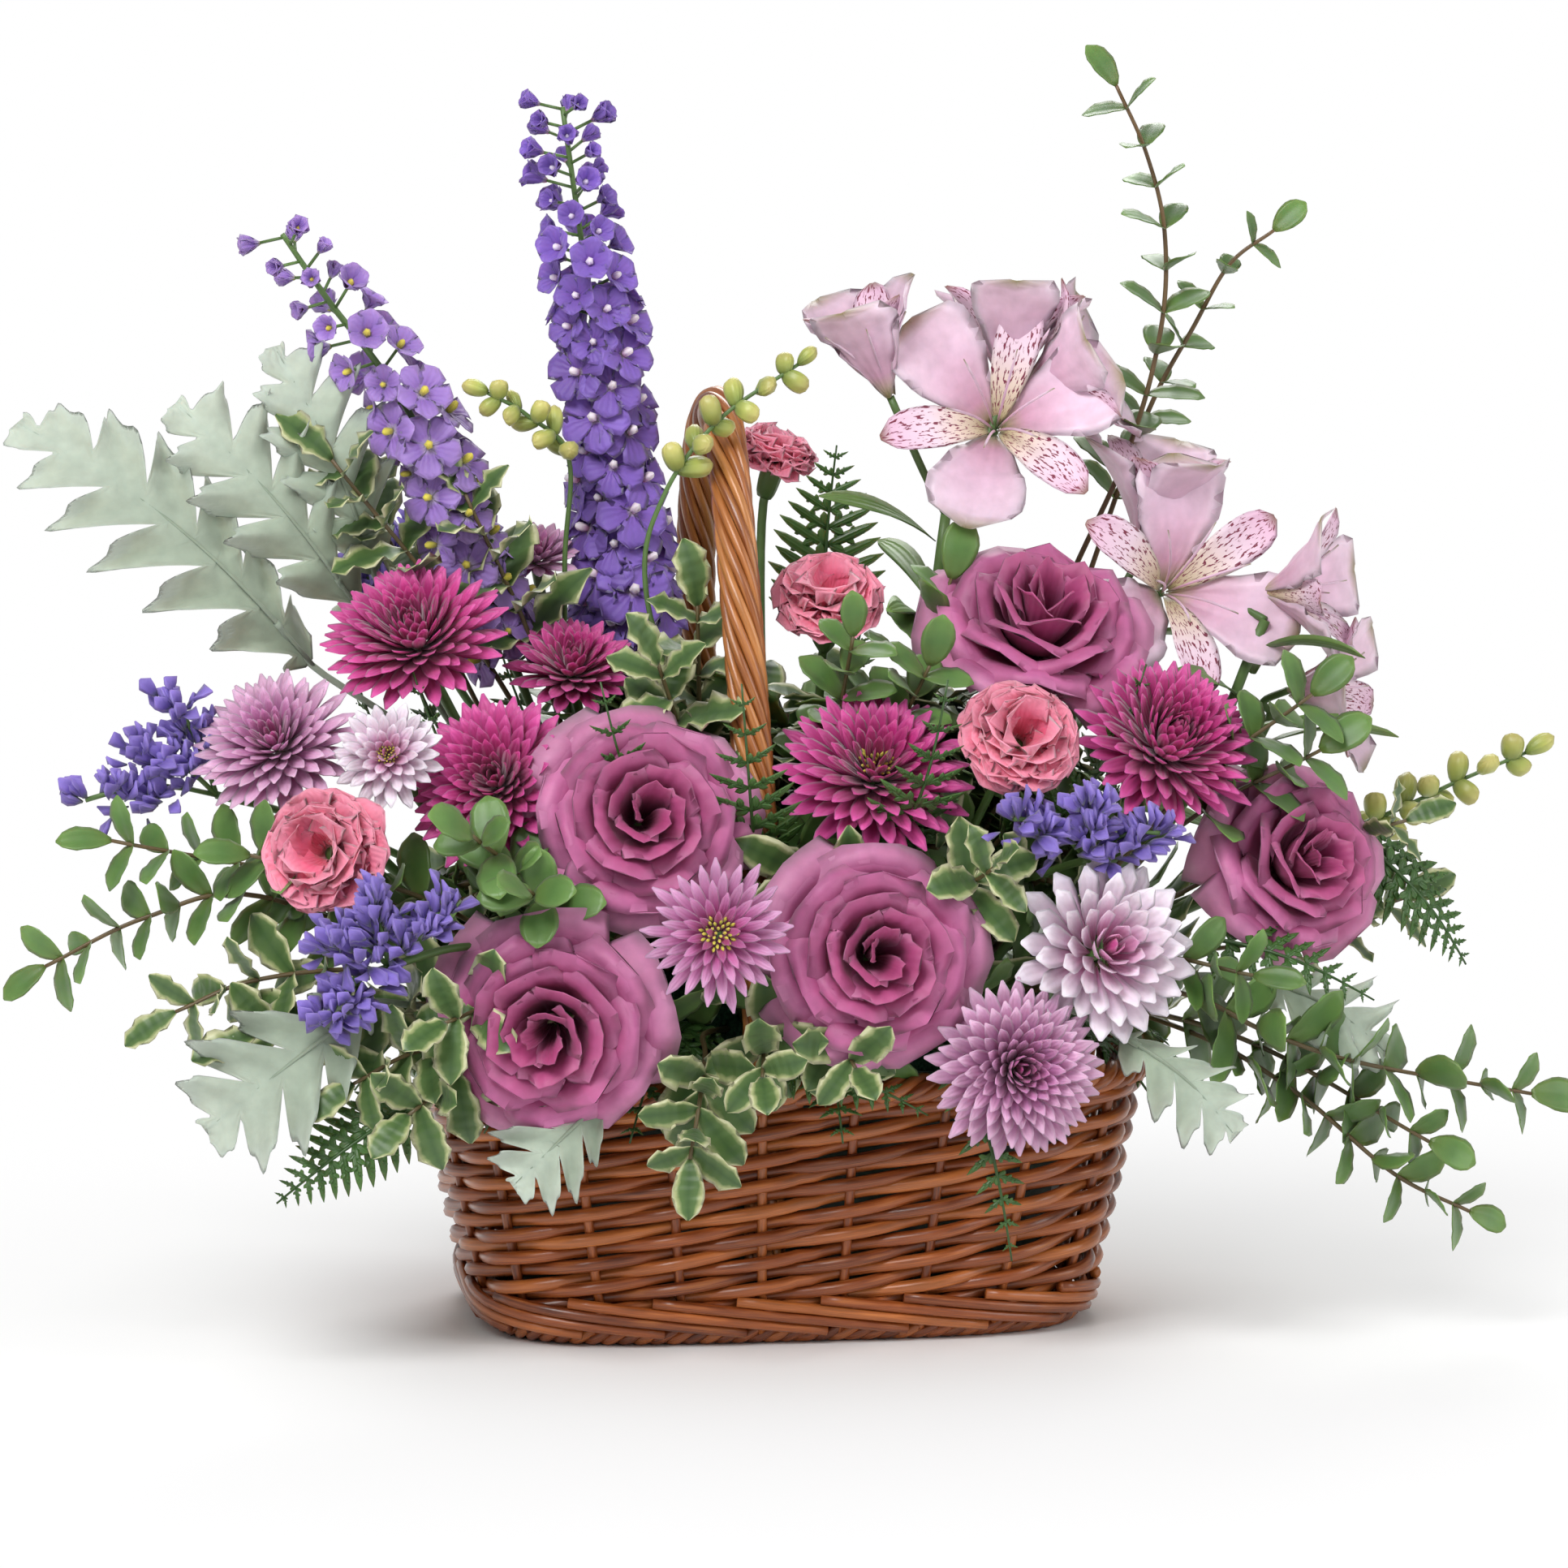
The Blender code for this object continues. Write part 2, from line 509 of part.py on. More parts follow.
def make_spray(name, stem, length, width, thickness, pairs, reach, kind):
    """Leaves or buds stand in pairs along the last stretch of the stem, with one at its tip."""
    route = smooth_route((stem_foot(*stem[0], 0.55), *stem), 2)
    step = np.linalg.norm(np.diff(route, axis=0), axis=1)
    from_tip = np.concatenate([np.cumsum(step[::-1])[::-1], [0.0]])
    bm = bmesh.new()
    tip_way = Vector(route[-1] - route[-2]).normalized()
    add_leaf(bm, route[-1], tip_way, (0, -1, 0.3), length, width, thickness)
    for i in range(pairs):
        below = reach * (i + 0.7) / pairs
        at = Vector([np.interp(-below, -from_tip, route[:, axis]) for axis in range(3)])
        ahead = Vector([np.interp(-below + 0.004, -from_tip, route[:, axis]) for axis in range(3)])
        way = (ahead - at).normalized()
        side = way.cross(Vector((0, -1, 0.25))).normalized()
        for hand in (-1, 1):
            out = (way * 0.55 + side * hand).normalized()
            add_leaf(bm, at, out, (0, -1, 0.3), length * (0.8 + 0.2 * i / pairs), width, thickness)
    joined(name, tube_mesh(name, route, 0.0012, tip=0.8), mesh_of(bm, name + "_leaves"), kind)
    socket(name, route, 0.0012)


def blade_outline(length, width, lobes, pointed):
    """A lobed blade: along each side tips and notches take turns under a sine arch."""
    side = []
    for i in range(lobes):
        for share, reach in (((i + 0.1) / lobes, 0.35), ((i + 0.75) / lobes, 1.0)):
            arch = math.sin(math.pi * min(1.0, 0.14 + 0.86 * share) ** pointed)
            side.append((length * share, 0.5 * width * reach * arch + 0.0012))
    return side + [(length, 0.0)] + [(x, -y) for x, y in reversed(side)]


def make_lobed_leaf(name, stalk, end, width, lobes, facing, kind):
    start = Vector(stalk[-1])
    along = Vector(end) - start
    data = bpy.data.curves.new(name + "_outline", "CURVE")
    data.dimensions = "2D"
    data.fill_mode = "BOTH"
    data.extrude = 0.0007
    outline = blade_outline(along.length, width, lobes, 1.0 if kind == "dusty_miller" else 0.6)
    spline = data.splines.new("POLY")
    spline.points.add(len(outline) - 1)
    for point, (x, y) in zip(spline.points, outline):
        point.co = (x, y, 0.0, 1.0)
    spline.use_cyclic_u = True
    guide = bpy.data.objects.new(name + "_outline", data)
    bpy.context.scene.collection.objects.link(guide)
    blade = bpy.data.meshes.new_from_object(guide.evaluated_get(bpy.context.evaluated_depsgraph_get()))
    bpy.data.objects.remove(guide, do_unlink=True)
    turned = frame_for(along, facing) @ Matrix(((0, 1, 0, 0), (0, 0, 1, 0), (1, 0, 0, 0), (0, 0, 0, 1)))
    bm = bmesh.new()
    bm.from_mesh(blade)
    bmesh.ops.remove_doubles(bm, verts=bm.verts, dist=1e-6)
    bmesh.ops.transform(bm, matrix=Matrix.Translation(start) @ turned, verts=bm.verts)
    bmesh.ops.recalc_face_normals(bm, faces=bm.faces)
    rib = np.array(stalk[-1]) + np.array(along) * 0.35
    route = smooth_route((stem_foot(*stalk[0], 0.55), *stalk, tuple(rib)), 2)
    joined(name, tube_mesh(name, route, 0.0013), mesh_of(bm, name + "_blade"), kind)
    socket(name, route, 0.0013)


def make_flowers():
    for name, middle, facing, radius in ROSES:
        make_flower(name, middle, facing, radius, ROSE_PROFILE, 5, 0.10, 10, 0.0028, "rose")
    for name, middle, facing, radius, kind in CHRYSANTHEMUMS:
        make_flower(name, middle, facing, radius, MUM_PROFILE, 7, 0.12, 14, 0.0020, kind)
    for name, middle, facing, radius in CARNATIONS:
        make_flower(name, middle, facing, radius, CARNATION_PROFILE, 6, 0.15, 12, 0.0018, "carnation")
    for row in ALSTROEMERIAS:
        make_alstroemeria(*row)
    for row in LARKSPURS:
        make_larkspur(*row)
    for row in STATICES:
        make_statice(*row)


def make_foliage():
    for row in SPRAYS:
        make_spray(*row)
    for row in LOBED_LEAVES:
        make_lobed_leaf(*row)


cleared_scene()
PARTS = new_collection("flower_basket_arrangement")
HELPERS = new_collection("joined_shapes", hidden=True)
SOCKETS = new_collection("stem_sockets", hidden=True)
make_basket()
make_handle()
make_flowers()
make_foliage()
make_liner_and_foam()
for part in PARTS.objects:
    part.data.shade_smooth()
    part.data.set_sharp_from_angle(angle=math.radians(40))
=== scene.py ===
import math

import bpy
import numpy as np
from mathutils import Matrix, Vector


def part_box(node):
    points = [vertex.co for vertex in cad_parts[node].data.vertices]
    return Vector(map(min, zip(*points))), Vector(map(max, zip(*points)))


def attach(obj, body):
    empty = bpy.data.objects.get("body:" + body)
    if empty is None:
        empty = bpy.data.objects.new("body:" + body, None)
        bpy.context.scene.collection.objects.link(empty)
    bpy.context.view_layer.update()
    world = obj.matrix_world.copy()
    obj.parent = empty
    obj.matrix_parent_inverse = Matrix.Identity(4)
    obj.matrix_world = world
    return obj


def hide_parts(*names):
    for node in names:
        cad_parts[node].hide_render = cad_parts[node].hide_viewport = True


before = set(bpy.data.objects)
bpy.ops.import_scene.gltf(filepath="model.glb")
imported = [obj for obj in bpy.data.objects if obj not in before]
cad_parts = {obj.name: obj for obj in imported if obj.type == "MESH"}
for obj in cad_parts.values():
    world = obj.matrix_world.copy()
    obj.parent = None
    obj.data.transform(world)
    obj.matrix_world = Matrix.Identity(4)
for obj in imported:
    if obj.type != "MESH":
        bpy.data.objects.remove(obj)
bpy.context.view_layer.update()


# ---- Woven wall ----
# The side of the basket, in stained and varnished willow rods. Stakes stand round the base, and from each
# one a weaver climbs to the right, in front of one stake and behind the next, one row up at each.

def basket_plan(half_x, half_y, turn, power=4.0):
    """A superellipse: each half size times the cosine or sine of turn, to the power 2/4, sign kept."""
    c, s = np.cos(turn), np.sin(turn)
    x = half_x * np.sign(c) * np.abs(c) ** (2 / power)
    y = half_y * np.sign(s) * np.abs(s) ** (2 / power)
    return x, y


def even_turns(half_x, half_y, share):
    """The turns at which the plan's length round from the right-hand end is these shares of the whole."""
    turn = np.linspace(0, 2 * math.pi, 2881)
    x, y = basket_plan(half_x, half_y, turn)
    run = np.concatenate([[0], np.cumsum(np.hypot(np.diff(x), np.diff(y)))])
    share = np.asarray(share)
    return np.interp(share % 1.0, run / run[-1], turn) + 2 * math.pi * np.floor(share)


def unit(v):
    """Vectors along the last axis, each divided by its length."""
    return v / np.maximum(np.linalg.norm(v, axis=-1, keepdims=True), 1e-9)


def rods(paths, radius, sides=8, taper=1.0):
    """Round rods along paths, as a grid and its marks. At u along a path and turn t, the point is the path's
    point plus the radius times cos t and sin t along two directions square to the path. The marks are the
    run along the rod, the turn, and a number of the rod's own."""
    paths = np.asarray(paths, float)
    along = unit(np.gradient(paths, axis=1))
    lean = np.abs(along).max(axis=(0, 1))
    guide = np.eye(3)[np.argmin(lean)]
    side = unit(np.cross(along, guide))
    up = np.cross(side, along)
    turn = np.arange(sides) * 2 * math.pi / sides
    width = np.linspace(1, taper, paths.shape[1])[None, :, None, None] * radius
    ring = np.cos(turn)[:, None] * side[:, :, None, :] + np.sin(turn)[:, None] * up[:, :, None, :]
    grid = paths[:, :, None, :] + width * ring
    marks = np.zeros(grid.shape)
    run = np.linalg.norm(np.diff(paths, axis=1), axis=2).cumsum(axis=1)
    marks[:, 1:, :, 0] = run[:, :, None]
    marks[..., 1] = turn / (2 * math.pi)
    marks[..., 2] = (np.arange(len(paths)) * 0.618 % 1.0)[:, None, None]
    return grid, marks


def grid_faces(grid, start):
    """Quads between the rings of each strand, and a cap on each end. A strand whose volume comes out
    negative has all of its faces turned round, so that they face outwards."""
    count, rows, sides = grid.shape[:3]
    at = start + np.arange(count * rows * sides).reshape(count, rows, sides)
    after = np.roll(at, -1, axis=2)
    quads = np.stack([at[:, :-1], after[:, :-1], after[:, 1:], at[:, 1:]], axis=-1)
    middle = grid.mean(axis=(1, 2), keepdims=True)
    g = grid - middle
    n = np.roll(g, -1, axis=2)
    volume = (np.cross(g[:, :-1], n[:, :-1]) * n[:, 1:]).sum(axis=-1).sum(axis=(1, 2))
    volume += (np.cross(g[:, :-1], n[:, 1:]) * g[:, 1:]).sum(axis=-1).sum(axis=(1, 2))
    inward = volume < 0
    quads[inward] = quads[inward][..., ::-1]
    low, high = at[:, 0, ::-1].copy(), at[:, -1].copy()
    low[inward], high[inward] = low[inward][:, ::-1], high[inward][:, ::-1]
    return quads.reshape(-1, 4).tolist() + low.tolist() + high.tolist()


def make_piece(name, batches, nodes):
    """One mesh from batches of strands or petals, each with its own finish, riding on the basket."""
    points, faces, marks, which = [], [], [], []
    finishes = []
    start = 0
    for (grid, mark), finish in batches:
        new = grid_faces(grid, start)
        if finish not in finishes:
            finishes.append(finish)
        which += [finishes.index(finish)] * len(new)
        faces += new
        points.append(grid.reshape(-1, 3))
        marks.append(mark.reshape(-1, 3))
        start += grid[..., 0].size
    mesh = bpy.data.meshes.new(name)
    mesh.from_pydata(np.concatenate(points), [], faces)
    for finish in finishes:
        mesh.materials.append(finish)
    mesh.polygons.foreach_set("material_index", which)
    layer = mesh.attributes.new("grown", "FLOAT_VECTOR", "POINT")
    layer.data.foreach_set("vector", np.concatenate(marks).astype(np.float32).ravel())
    mesh.shade_smooth()
    made = bpy.data.objects.new(name, mesh)
    bpy.context.scene.collection.objects.link(made)
    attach(made, "root")
    if nodes:
        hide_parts(*nodes)
    return made


def new_finish(name, roughness, sheen=0.0, coat=0.0):
    """A Principled finish: the material, its nodes, links and shader, and the piece's three marks, split."""
    made = bpy.data.materials.new(name)
    made.use_nodes = True
    nodes, links = made.node_tree.nodes, made.node_tree.links
    shader = nodes["Principled BSDF"]
    shader.inputs["Roughness"].default_value = roughness
    shader.inputs["Sheen Weight"].default_value = sheen
    shader.inputs["Coat Weight"].default_value = coat
    shader.inputs["Coat Roughness"].default_value = 0.25
    mark = nodes.new("ShaderNodeAttribute")
    mark.attribute_name = "grown"
    split = nodes.new("ShaderNodeSeparateXYZ")
    links.new(mark.outputs["Vector"], split.inputs[0])
    return made, nodes, links, shader, split


def ramp(nodes, links, source, stops):
    """A colour ramp with these (place, colour) stops, fed from a number."""
    made = nodes.new("ShaderNodeValToRGB")
    band = made.color_ramp
    band.elements[0].position, band.elements[0].color = stops[0][0], (*stops[0][1], 1)
    band.elements[1].position, band.elements[1].color = stops[-1][0], (*stops[-1][1], 1)
    for place, colour in stops[1:-1]:
        band.elements.new(place).color = (*colour, 1)
    links.new(source, made.inputs[0])
    return made.outputs[0]


def math_node(nodes, links, kind, a, b=0.0, clamp=False):
    """The result of a on b by one Math node, where each is a socket or a plain number."""
    made = nodes.new("ShaderNodeMath")
    made.operation = kind
    made.use_clamp = clamp
    for socket, value in zip(made.inputs, (a, b)):
        if isinstance(value, (int, float)):
            socket.default_value = value
        else:
            links.new(value, socket)
    return made.outputs[0]


def mixed(nodes, links, kind, share, a, b):
    """Two colours mixed by share, each a socket or a plain colour."""
    made = nodes.new("ShaderNodeMix")
    made.data_type = "RGBA"
    made.blend_type = kind
    for socket, value in zip((made.inputs[0], made.inputs[6], made.inputs[7]), (share, a, b)):
        if isinstance(value, (int, float)):
            socket.default_value = value
        elif isinstance(value, tuple):
            socket.default_value = (*value, 1)
        else:
            links.new(value, socket)
    return made.outputs[2]


def noise(nodes, links, scale, detail=3.0):
    """Noise on the piece's own object coordinates, with this many grains to a metre."""
    place = nodes.new("ShaderNodeTexCoord")
    made = nodes.new("ShaderNodeTexNoise")
    made.inputs["Scale"].default_value = scale
    made.inputs["Detail"].default_value = detail
    links.new(place.outputs["Object"], made.inputs["Vector"])
    return made.outputs["Fac"]


def bump(nodes, links, shader, height, strength, distance=0.0005):
    """Raises the surface by a height."""
    made = nodes.new("ShaderNodeBump")
    made.inputs["Strength"].default_value = strength
    made.inputs["Distance"].default_value = distance
    links.new(height, made.inputs["Height"])
    links.new(made.outputs[0], shader.inputs["Normal"])


def willow_finish(name, dark, light, bright):
    """Stained willow: each rod has its own shade, with long streaks and a glossy varnish."""
    made, nodes, links, shader, split = new_finish(name, 0.34, coat=0.35)
    streak = nodes.new("ShaderNodeTexNoise")
    streak.inputs["Scale"].default_value = 1.0
    streak.inputs["Detail"].default_value = 4.0
    place = nodes.new("ShaderNodeCombineXYZ")
    links.new(math_node(nodes, links, "MULTIPLY", split.outputs[0], 60.0), place.inputs[0])
    links.new(math_node(nodes, links, "MULTIPLY", split.outputs[1], 9.0), place.inputs[1])
    links.new(math_node(nodes, links, "MULTIPLY", split.outputs[2], 40.0), place.inputs[2])
    links.new(place.outputs[0], streak.inputs["Vector"])
    # The bright stop, in whole rods and in the streaks along them, is partly lighter stain and partly painted
    # highlight on the varnish.
    own = ramp(nodes, links, split.outputs[2], ((0.0, dark), (0.55, light), (1.0, bright)))
    streaks_and_highlights = ramp(nodes, links, streak.outputs["Fac"], ((0.3, dark), (0.52, light), (0.74, bright)))
    links.new(mixed(nodes, links, "MIX", 0.55, own, streaks_and_highlights), shader.inputs["Base Color"])
    rough = math_node(nodes, links, "MULTIPLY_ADD", streak.outputs["Fac"], 0.3)
    rough.node.inputs[2].default_value = 0.2
    links.new(rough, shader.inputs["Roughness"])
    bump(nodes, links, shader, streak.outputs["Fac"], 0.35)
    return made


willow = willow_finish("stained_willow", (0.07, 0.013, 0.004), (0.34, 0.08, 0.015), (0.66, 0.22, 0.05))

wall_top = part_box("wall")[1][2]
foot_low, foot_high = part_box("foot_border")
rim_low, rim_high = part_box("rim_border")
BASE_HALF = np.array([foot_high[0], foot_high[1]])
RIM_HALF = np.array([rim_high[0], rim_high[1]])
RIM_HEIGHT = 0.5 * (rim_low[2] + rim_high[2])
ROD = 0.0024
STAKES = 22
ROW_PITCH = 0.0046
FIRST_ROW = 0.004
WEAVE_SWING = 0.0027
STAKE = 0.0017


def wall_point(share, z, out):
    """A point of the wall at a share of the way round, height z, and this far out from its middle."""
    grow = (np.clip(z, 0, None) / RIM_HEIGHT) ** 0.8
    half = BASE_HALF + (RIM_HALF - 0.002 - BASE_HALF) * grow[..., None] - 0.0035 + np.asarray(out)[..., None]
    turn = even_turns(BASE_HALF[0], BASE_HALF[1], share)
    x, y = basket_plan(half[..., 0], half[..., 1], turn)
    return np.stack([x, y, z], axis=-1)


rows = math.floor((wall_top - foot_high[2] - FIRST_ROW) / ROW_PITCH)
step = np.linspace(-0.45, rows + 0.45, (rows + 1) * 10)
share = (np.arange(STAKES)[:, None] + step) / STAKES
height = foot_high[2] + FIRST_ROW + ROW_PITCH * step[None].repeat(STAKES, axis=0)
swing = WEAVE_SWING * np.cos(math.pi * step)[None].repeat(STAKES, axis=0)
rng = np.random.default_rng(12)
wobble = 0.0007 * np.sin(step * 0.83 + rng.uniform(0, 6, (STAKES, 1))) + rng.normal(0, 0.0002, (STAKES, 1))
weavers = rods(wall_point(share, np.clip(height + wobble, 0.008, None), swing), ROD)
make_piece("woven_wall", [(weavers, willow)], ["wall"])

stake_step = np.linspace(0, 1, 8)[None].repeat(STAKES, axis=0)
stake_share = np.arange(STAKES)[:, None] / STAKES
stake_height = 0.004 + (RIM_HEIGHT - 0.004) * stake_step
stakes = rods(wall_point(stake_share, stake_height, 0.0), STAKE)
make_piece("stakes", [(stakes, willow)], [])


# ---- Foot border and rim border ----
# Two thick willow rolls: the foot that the basket stands on, and the rim that finishes the top. Each is
# strands wound round one ring, and at the foot the stakes' tails are laid slanting over it.

def rolled_border(half_x, half_y, height, strands, radius, rod, turns):
    """Strands wound round a ring that follows the plan. At a share of the way round, a strand lies at the
    radius times cos and sin of its spin outwards and upwards, and the spin grows by the turns."""
    share = np.linspace(0, 1, 361)[None]
    spin = 2 * math.pi * (turns * share + np.arange(strands)[:, None] / strands)
    turn = even_turns(half_x, half_y, share)
    out = radius * np.cos(spin)
    x, y = basket_plan(half_x + out, half_y + out, turn)
    return rods(np.stack([x, y, height + radius * np.sin(spin)], axis=-1), rod)


foot_middle = 0.5 * (foot_low[2] + foot_high[2])
foot_half = BASE_HALF - 0.004
foot = rolled_border(*foot_half, foot_middle, strands=4, radius=0.0024, rod=0.0021, turns=26)
lay = np.linspace(0, 1, 12)[None].repeat(STAKES, axis=0)
tail_share = (np.arange(STAKES)[:, None] - 0.3 + 3.1 * lay) / STAKES
tail_out = 0.0034 + 0.0012 * np.sin(math.pi * lay)
foot_tails = rods(wall_point(tail_share, 0.0165 - 0.0115 * lay, tail_out), 0.002)
make_piece("rolled_foot", [(foot, willow), (foot_tails, willow)], ["foot_border"])
rim = rolled_border(*(RIM_HALF - 0.005), RIM_HEIGHT, strands=5, radius=0.0032, rod=0.0022, turns=22)
make_piece("rolled_rim", [(rim, willow)], ["rim_border"])


# ---- Base ----
# The bottom of the basket: willow rods laid side by side from end to end, cut to the oval of the foot.
# Their ends are held in the foot border.

panel_low, panel_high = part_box("base_panel")
PANEL_ROD = 0.0021
PANEL_RODS = 27
PANEL_HEIGHT = 0.0022
lanes = np.linspace(panel_low[1] + PANEL_HEIGHT, panel_high[1] - PANEL_HEIGHT, PANEL_RODS)
reach = panel_high[0] * (1 - (np.abs(lanes) / panel_high[1]) ** 4) ** 0.25
along = np.linspace(-1, 1, 9)
slats = np.stack(np.broadcast_arrays(reach[:, None] * along, lanes[:, None], PANEL_HEIGHT), axis=-1)
make_piece("base_slats", [(rods(slats, PANEL_ROD), willow)], ["base_panel"])


# ---- Handle ----
# A thick bow pushed down inside the wall at the front and back, roped with a band of thin golden willow
# strands that lie side by side and wind steeply up it.

honey_willow = willow_finish("roped_willow", (0.15, 0.036, 0.008), (0.42, 0.14, 0.032), (0.66, 0.3, 0.09))
BOW_RADIUS = 0.0042
HANDLE_HALF = (
    (-0.012, -0.062, 0.028),
    (-0.014, -0.0735, 0.095),
    (-0.016, -0.075, 0.17),
    (-0.0185, -0.07, 0.22),
    (-0.0205, -0.057, 0.268),
    (-0.021, -0.031, 0.308),
    (-0.02, 0.0, 0.321),
)


def smooth_route(points, steps):
    """A Catmull-Rom curve through the points, with this many steps between each pair."""
    p = np.array(points, float)
    p = np.vstack([2 * p[0] - p[1], p, 2 * p[-1] - p[-2]])
    a, b, c, d = p[:-3, None], p[1:-2, None], p[2:-1, None], p[3:, None]
    t = (np.arange(steps) / steps)[None, :, None]
    curve = 0.5 * (2 * b + (c - a) * t + (2 * a - 5 * b + 4 * c - d) * t**2 + (3 * b - a - 3 * c + d) * t**3)
    return np.vstack([curve.reshape(-1, 3), p[-2][None]])


def roped(route, strands, radius, rod, lay):
    """Strands wound round a route. At each point of it a strand stands the radius away, at a spin that
    grows by one turn in each lay of length."""
    along = unit(np.gradient(route, axis=0))
    side = unit(np.cross(along, (1.0, 0.0, 0.0)))
    up = np.cross(side, along)
    run = np.concatenate([[0], np.cumsum(np.linalg.norm(np.diff(route, axis=0), axis=1))])
    spin = 2 * math.pi * (run[None] / lay + np.arange(strands)[:, None] / strands)
    paths = route[None] + radius * (np.cos(spin)[..., None] * side + np.sin(spin)[..., None] * up)
    return rods(paths, rod)


handle_route = smooth_route(HANDLE_HALF + tuple((x, -y, z) for x, y, z in reversed(HANDLE_HALF[:-1])), 16)
core = rods(handle_route[None], BOW_RADIUS, 10)
make_piece("handle_bow", [(core, willow)], ["handle_core"])
wrap = roped(handle_route, strands=9, radius=0.0054, rod=0.0018, lay=0.105)
make_piece("handle_roping", [(wrap, honey_willow)], ["handle_wrap"])


# ---- Liner and foam ----
# A thin dark green plastic tray holds the water, and a block of green floral foam stands in it with a
# hole for every stem. Both are moulded plain, so they keep their solids under a better finish.

liner_finish, nodes, links, shader, split = new_finish("liner_plastic", 0.35)
grain = noise(nodes, links, 180.0)
links.new(ramp(nodes, links, grain, ((0.3, (0.01, 0.03, 0.016)), (0.7, (0.022, 0.062, 0.034)))),
          shader.inputs["Base Color"])
bump(nodes, links, shader, grain, 0.1)
foam_finish, nodes, links, shader, split = new_finish("floral_foam", 0.95)
pores = noise(nodes, links, 900.0, 5.0)
links.new(ramp(nodes, links, pores, ((0.35, (0.012, 0.06, 0.03)), (0.65, (0.045, 0.16, 0.08)))),
          shader.inputs["Base Color"])
bump(nodes, links, shader, pores, 0.8, 0.001)
for node, finish in (("liner", liner_finish), ("foam", foam_finish)):
    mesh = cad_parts[node].data
    mesh.materials.clear()
    mesh.materials.append(finish)


# ---- Petals, leaves and stems ----
# Every petal, bud and leaf is one closed blade: thin, round-edged, cupped across and curved along.
# A flower's blades stand round its middle, and its green stem is pushed down into the foam.

GOLDEN_TURN = math.radians(137.5)


def blades(base, along, face, length, width, thick, curve=0.0, cup=0.0, wave=0.0, shape=(0.5, 2.0, 0.5),
           rows=8, sides=6, tint=None, waves=3.0, twist=0.0):
    """Closed blades, as a grid and its marks. At u from base to tip, the spine is an arc that bends towards
    the face by the curve in all. Across it stands a flat oval at turn t: half the width times cos t, and
    half the thickness times sin t. The width follows u^a (1 - u^b)^c for the shape (a, b, c), and the
    edges are raised by the cup and rippled by the wave, both times cos t squared. The marks are u, cos t
    and the blade's own tint."""
    base = np.atleast_2d(np.asarray(base, float))
    count = len(base)
    along = unit(np.broadcast_to(np.asarray(along, float), (count, 3)))
    face = np.broadcast_to(np.asarray(face, float), (count, 3))
    face = unit(face - (face * along).sum(-1, keepdims=True) * along + 1e-6)
    side = np.cross(along, face)
    length, width, thick, curve, cup, wave, twist = (
        np.broadcast_to(np.asarray(v, float), (count,))[:, None] for v in
        (length, width, thick, curve, cup, wave, twist)
    )
    u = np.linspace(0.0, 1.0, rows)[None]
    a, b, c = shape
    body = (u + 0.03) ** a * (1.0 - 0.985 * u**b) ** c
    body = body / body.max()
    bend = np.where(np.abs(curve) < 1e-3, 1e-3, curve)
    ahead = length * np.sin(bend * u) / bend
    lift = length * (1 - np.cos(bend * u)) / bend
    spine = base[:, None] + ahead[..., None] * along[:, None] + lift[..., None] * face[:, None]
    out = -np.sin(bend * u)[..., None] * along[:, None] + np.cos(bend * u)[..., None] * face[:, None]
    across = side[:, None] * np.cos(twist * u)[..., None] + out * np.sin(twist * u)[..., None]
    out = out * np.cos(twist * u)[..., None] - side[:, None] * np.sin(twist * u)[..., None]
    turn = np.arange(sides) * 2 * math.pi / sides
    k, s = np.cos(turn), np.sin(turn)
    half = (0.5 * width * body)[..., None]
    ripple = np.sin(2 * math.pi * waves * u + 5.0 * np.arange(count)[:, None])[..., None] * np.sign(k) * k**2
    raised = cup[..., None] * half * 2 * k**2 + wave[..., None] * half * ripple
    raised = raised + 0.5 * (thick * body**0.5)[..., None] * s
    sideways = (half * k)[..., None] * across[:, :, None]
    grid = spine[:, :, None] + sideways + raised[..., None] * out[:, :, None]
    marks = np.zeros(grid.shape)
    marks[..., 0] = u[..., None]
    marks[..., 1] = k
    own = np.arange(count) * 0.618 % 1.0 if tint is None else np.broadcast_to(tint, (count,))
    marks[..., 2] = own[:, None, None]
    return grid, marks


def petal_finish(name, stops, edge, edge_share, roughness=0.5, sheen=0.25, veins=14.0, mottle=0.25):
    """A petal or leaf: a ramp from base to tip, an edge colour, fine lengthwise veins, mottled shade."""
    made, nodes, links, shader, split = new_finish(name, roughness, sheen)
    shader.inputs["Subsurface Weight"].default_value = 0.12
    shader.inputs["Subsurface Radius"].default_value = (0.6, 0.3, 0.2)
    shader.inputs["Subsurface Scale"].default_value = 0.004
    colour = ramp(nodes, links, split.outputs[0], stops)
    rim = math_node(nodes, links, "POWER", math_node(nodes, links, "ABSOLUTE", split.outputs[1]), 3.0)
    rim = math_node(nodes, links, "MULTIPLY", rim, edge_share)
    colour = mixed(nodes, links, "MIX", rim, colour, edge)
    vein = math_node(nodes, links, "SINE", math_node(nodes, links, "MULTIPLY", split.outputs[1], veins))
    patch = noise(nodes, links, 160.0, 4.0)
    shade = math_node(nodes, links, "MULTIPLY_ADD", patch, mottle * 2)
    shade.node.inputs[2].default_value = 1.0 - mottle
    own = math_node(nodes, links, "MULTIPLY_ADD", split.outputs[2], 0.3)
    own.node.inputs[2].default_value = 0.85
    both = math_node(nodes, links, "MULTIPLY", shade, own)
    grey = nodes.new("ShaderNodeCombineXYZ")
    for socket in grey.inputs:
        links.new(both, socket)
    links.new(mixed(nodes, links, "MULTIPLY", 1.0, colour, grey.outputs[0]), shader.inputs["Base Color"])
    height = math_node(nodes, links, "MULTIPLY_ADD", vein, 0.5)
    links.new(patch, height.node.inputs[2])
    bump(nodes, links, shader, height, 0.35, 0.0004)
    return made


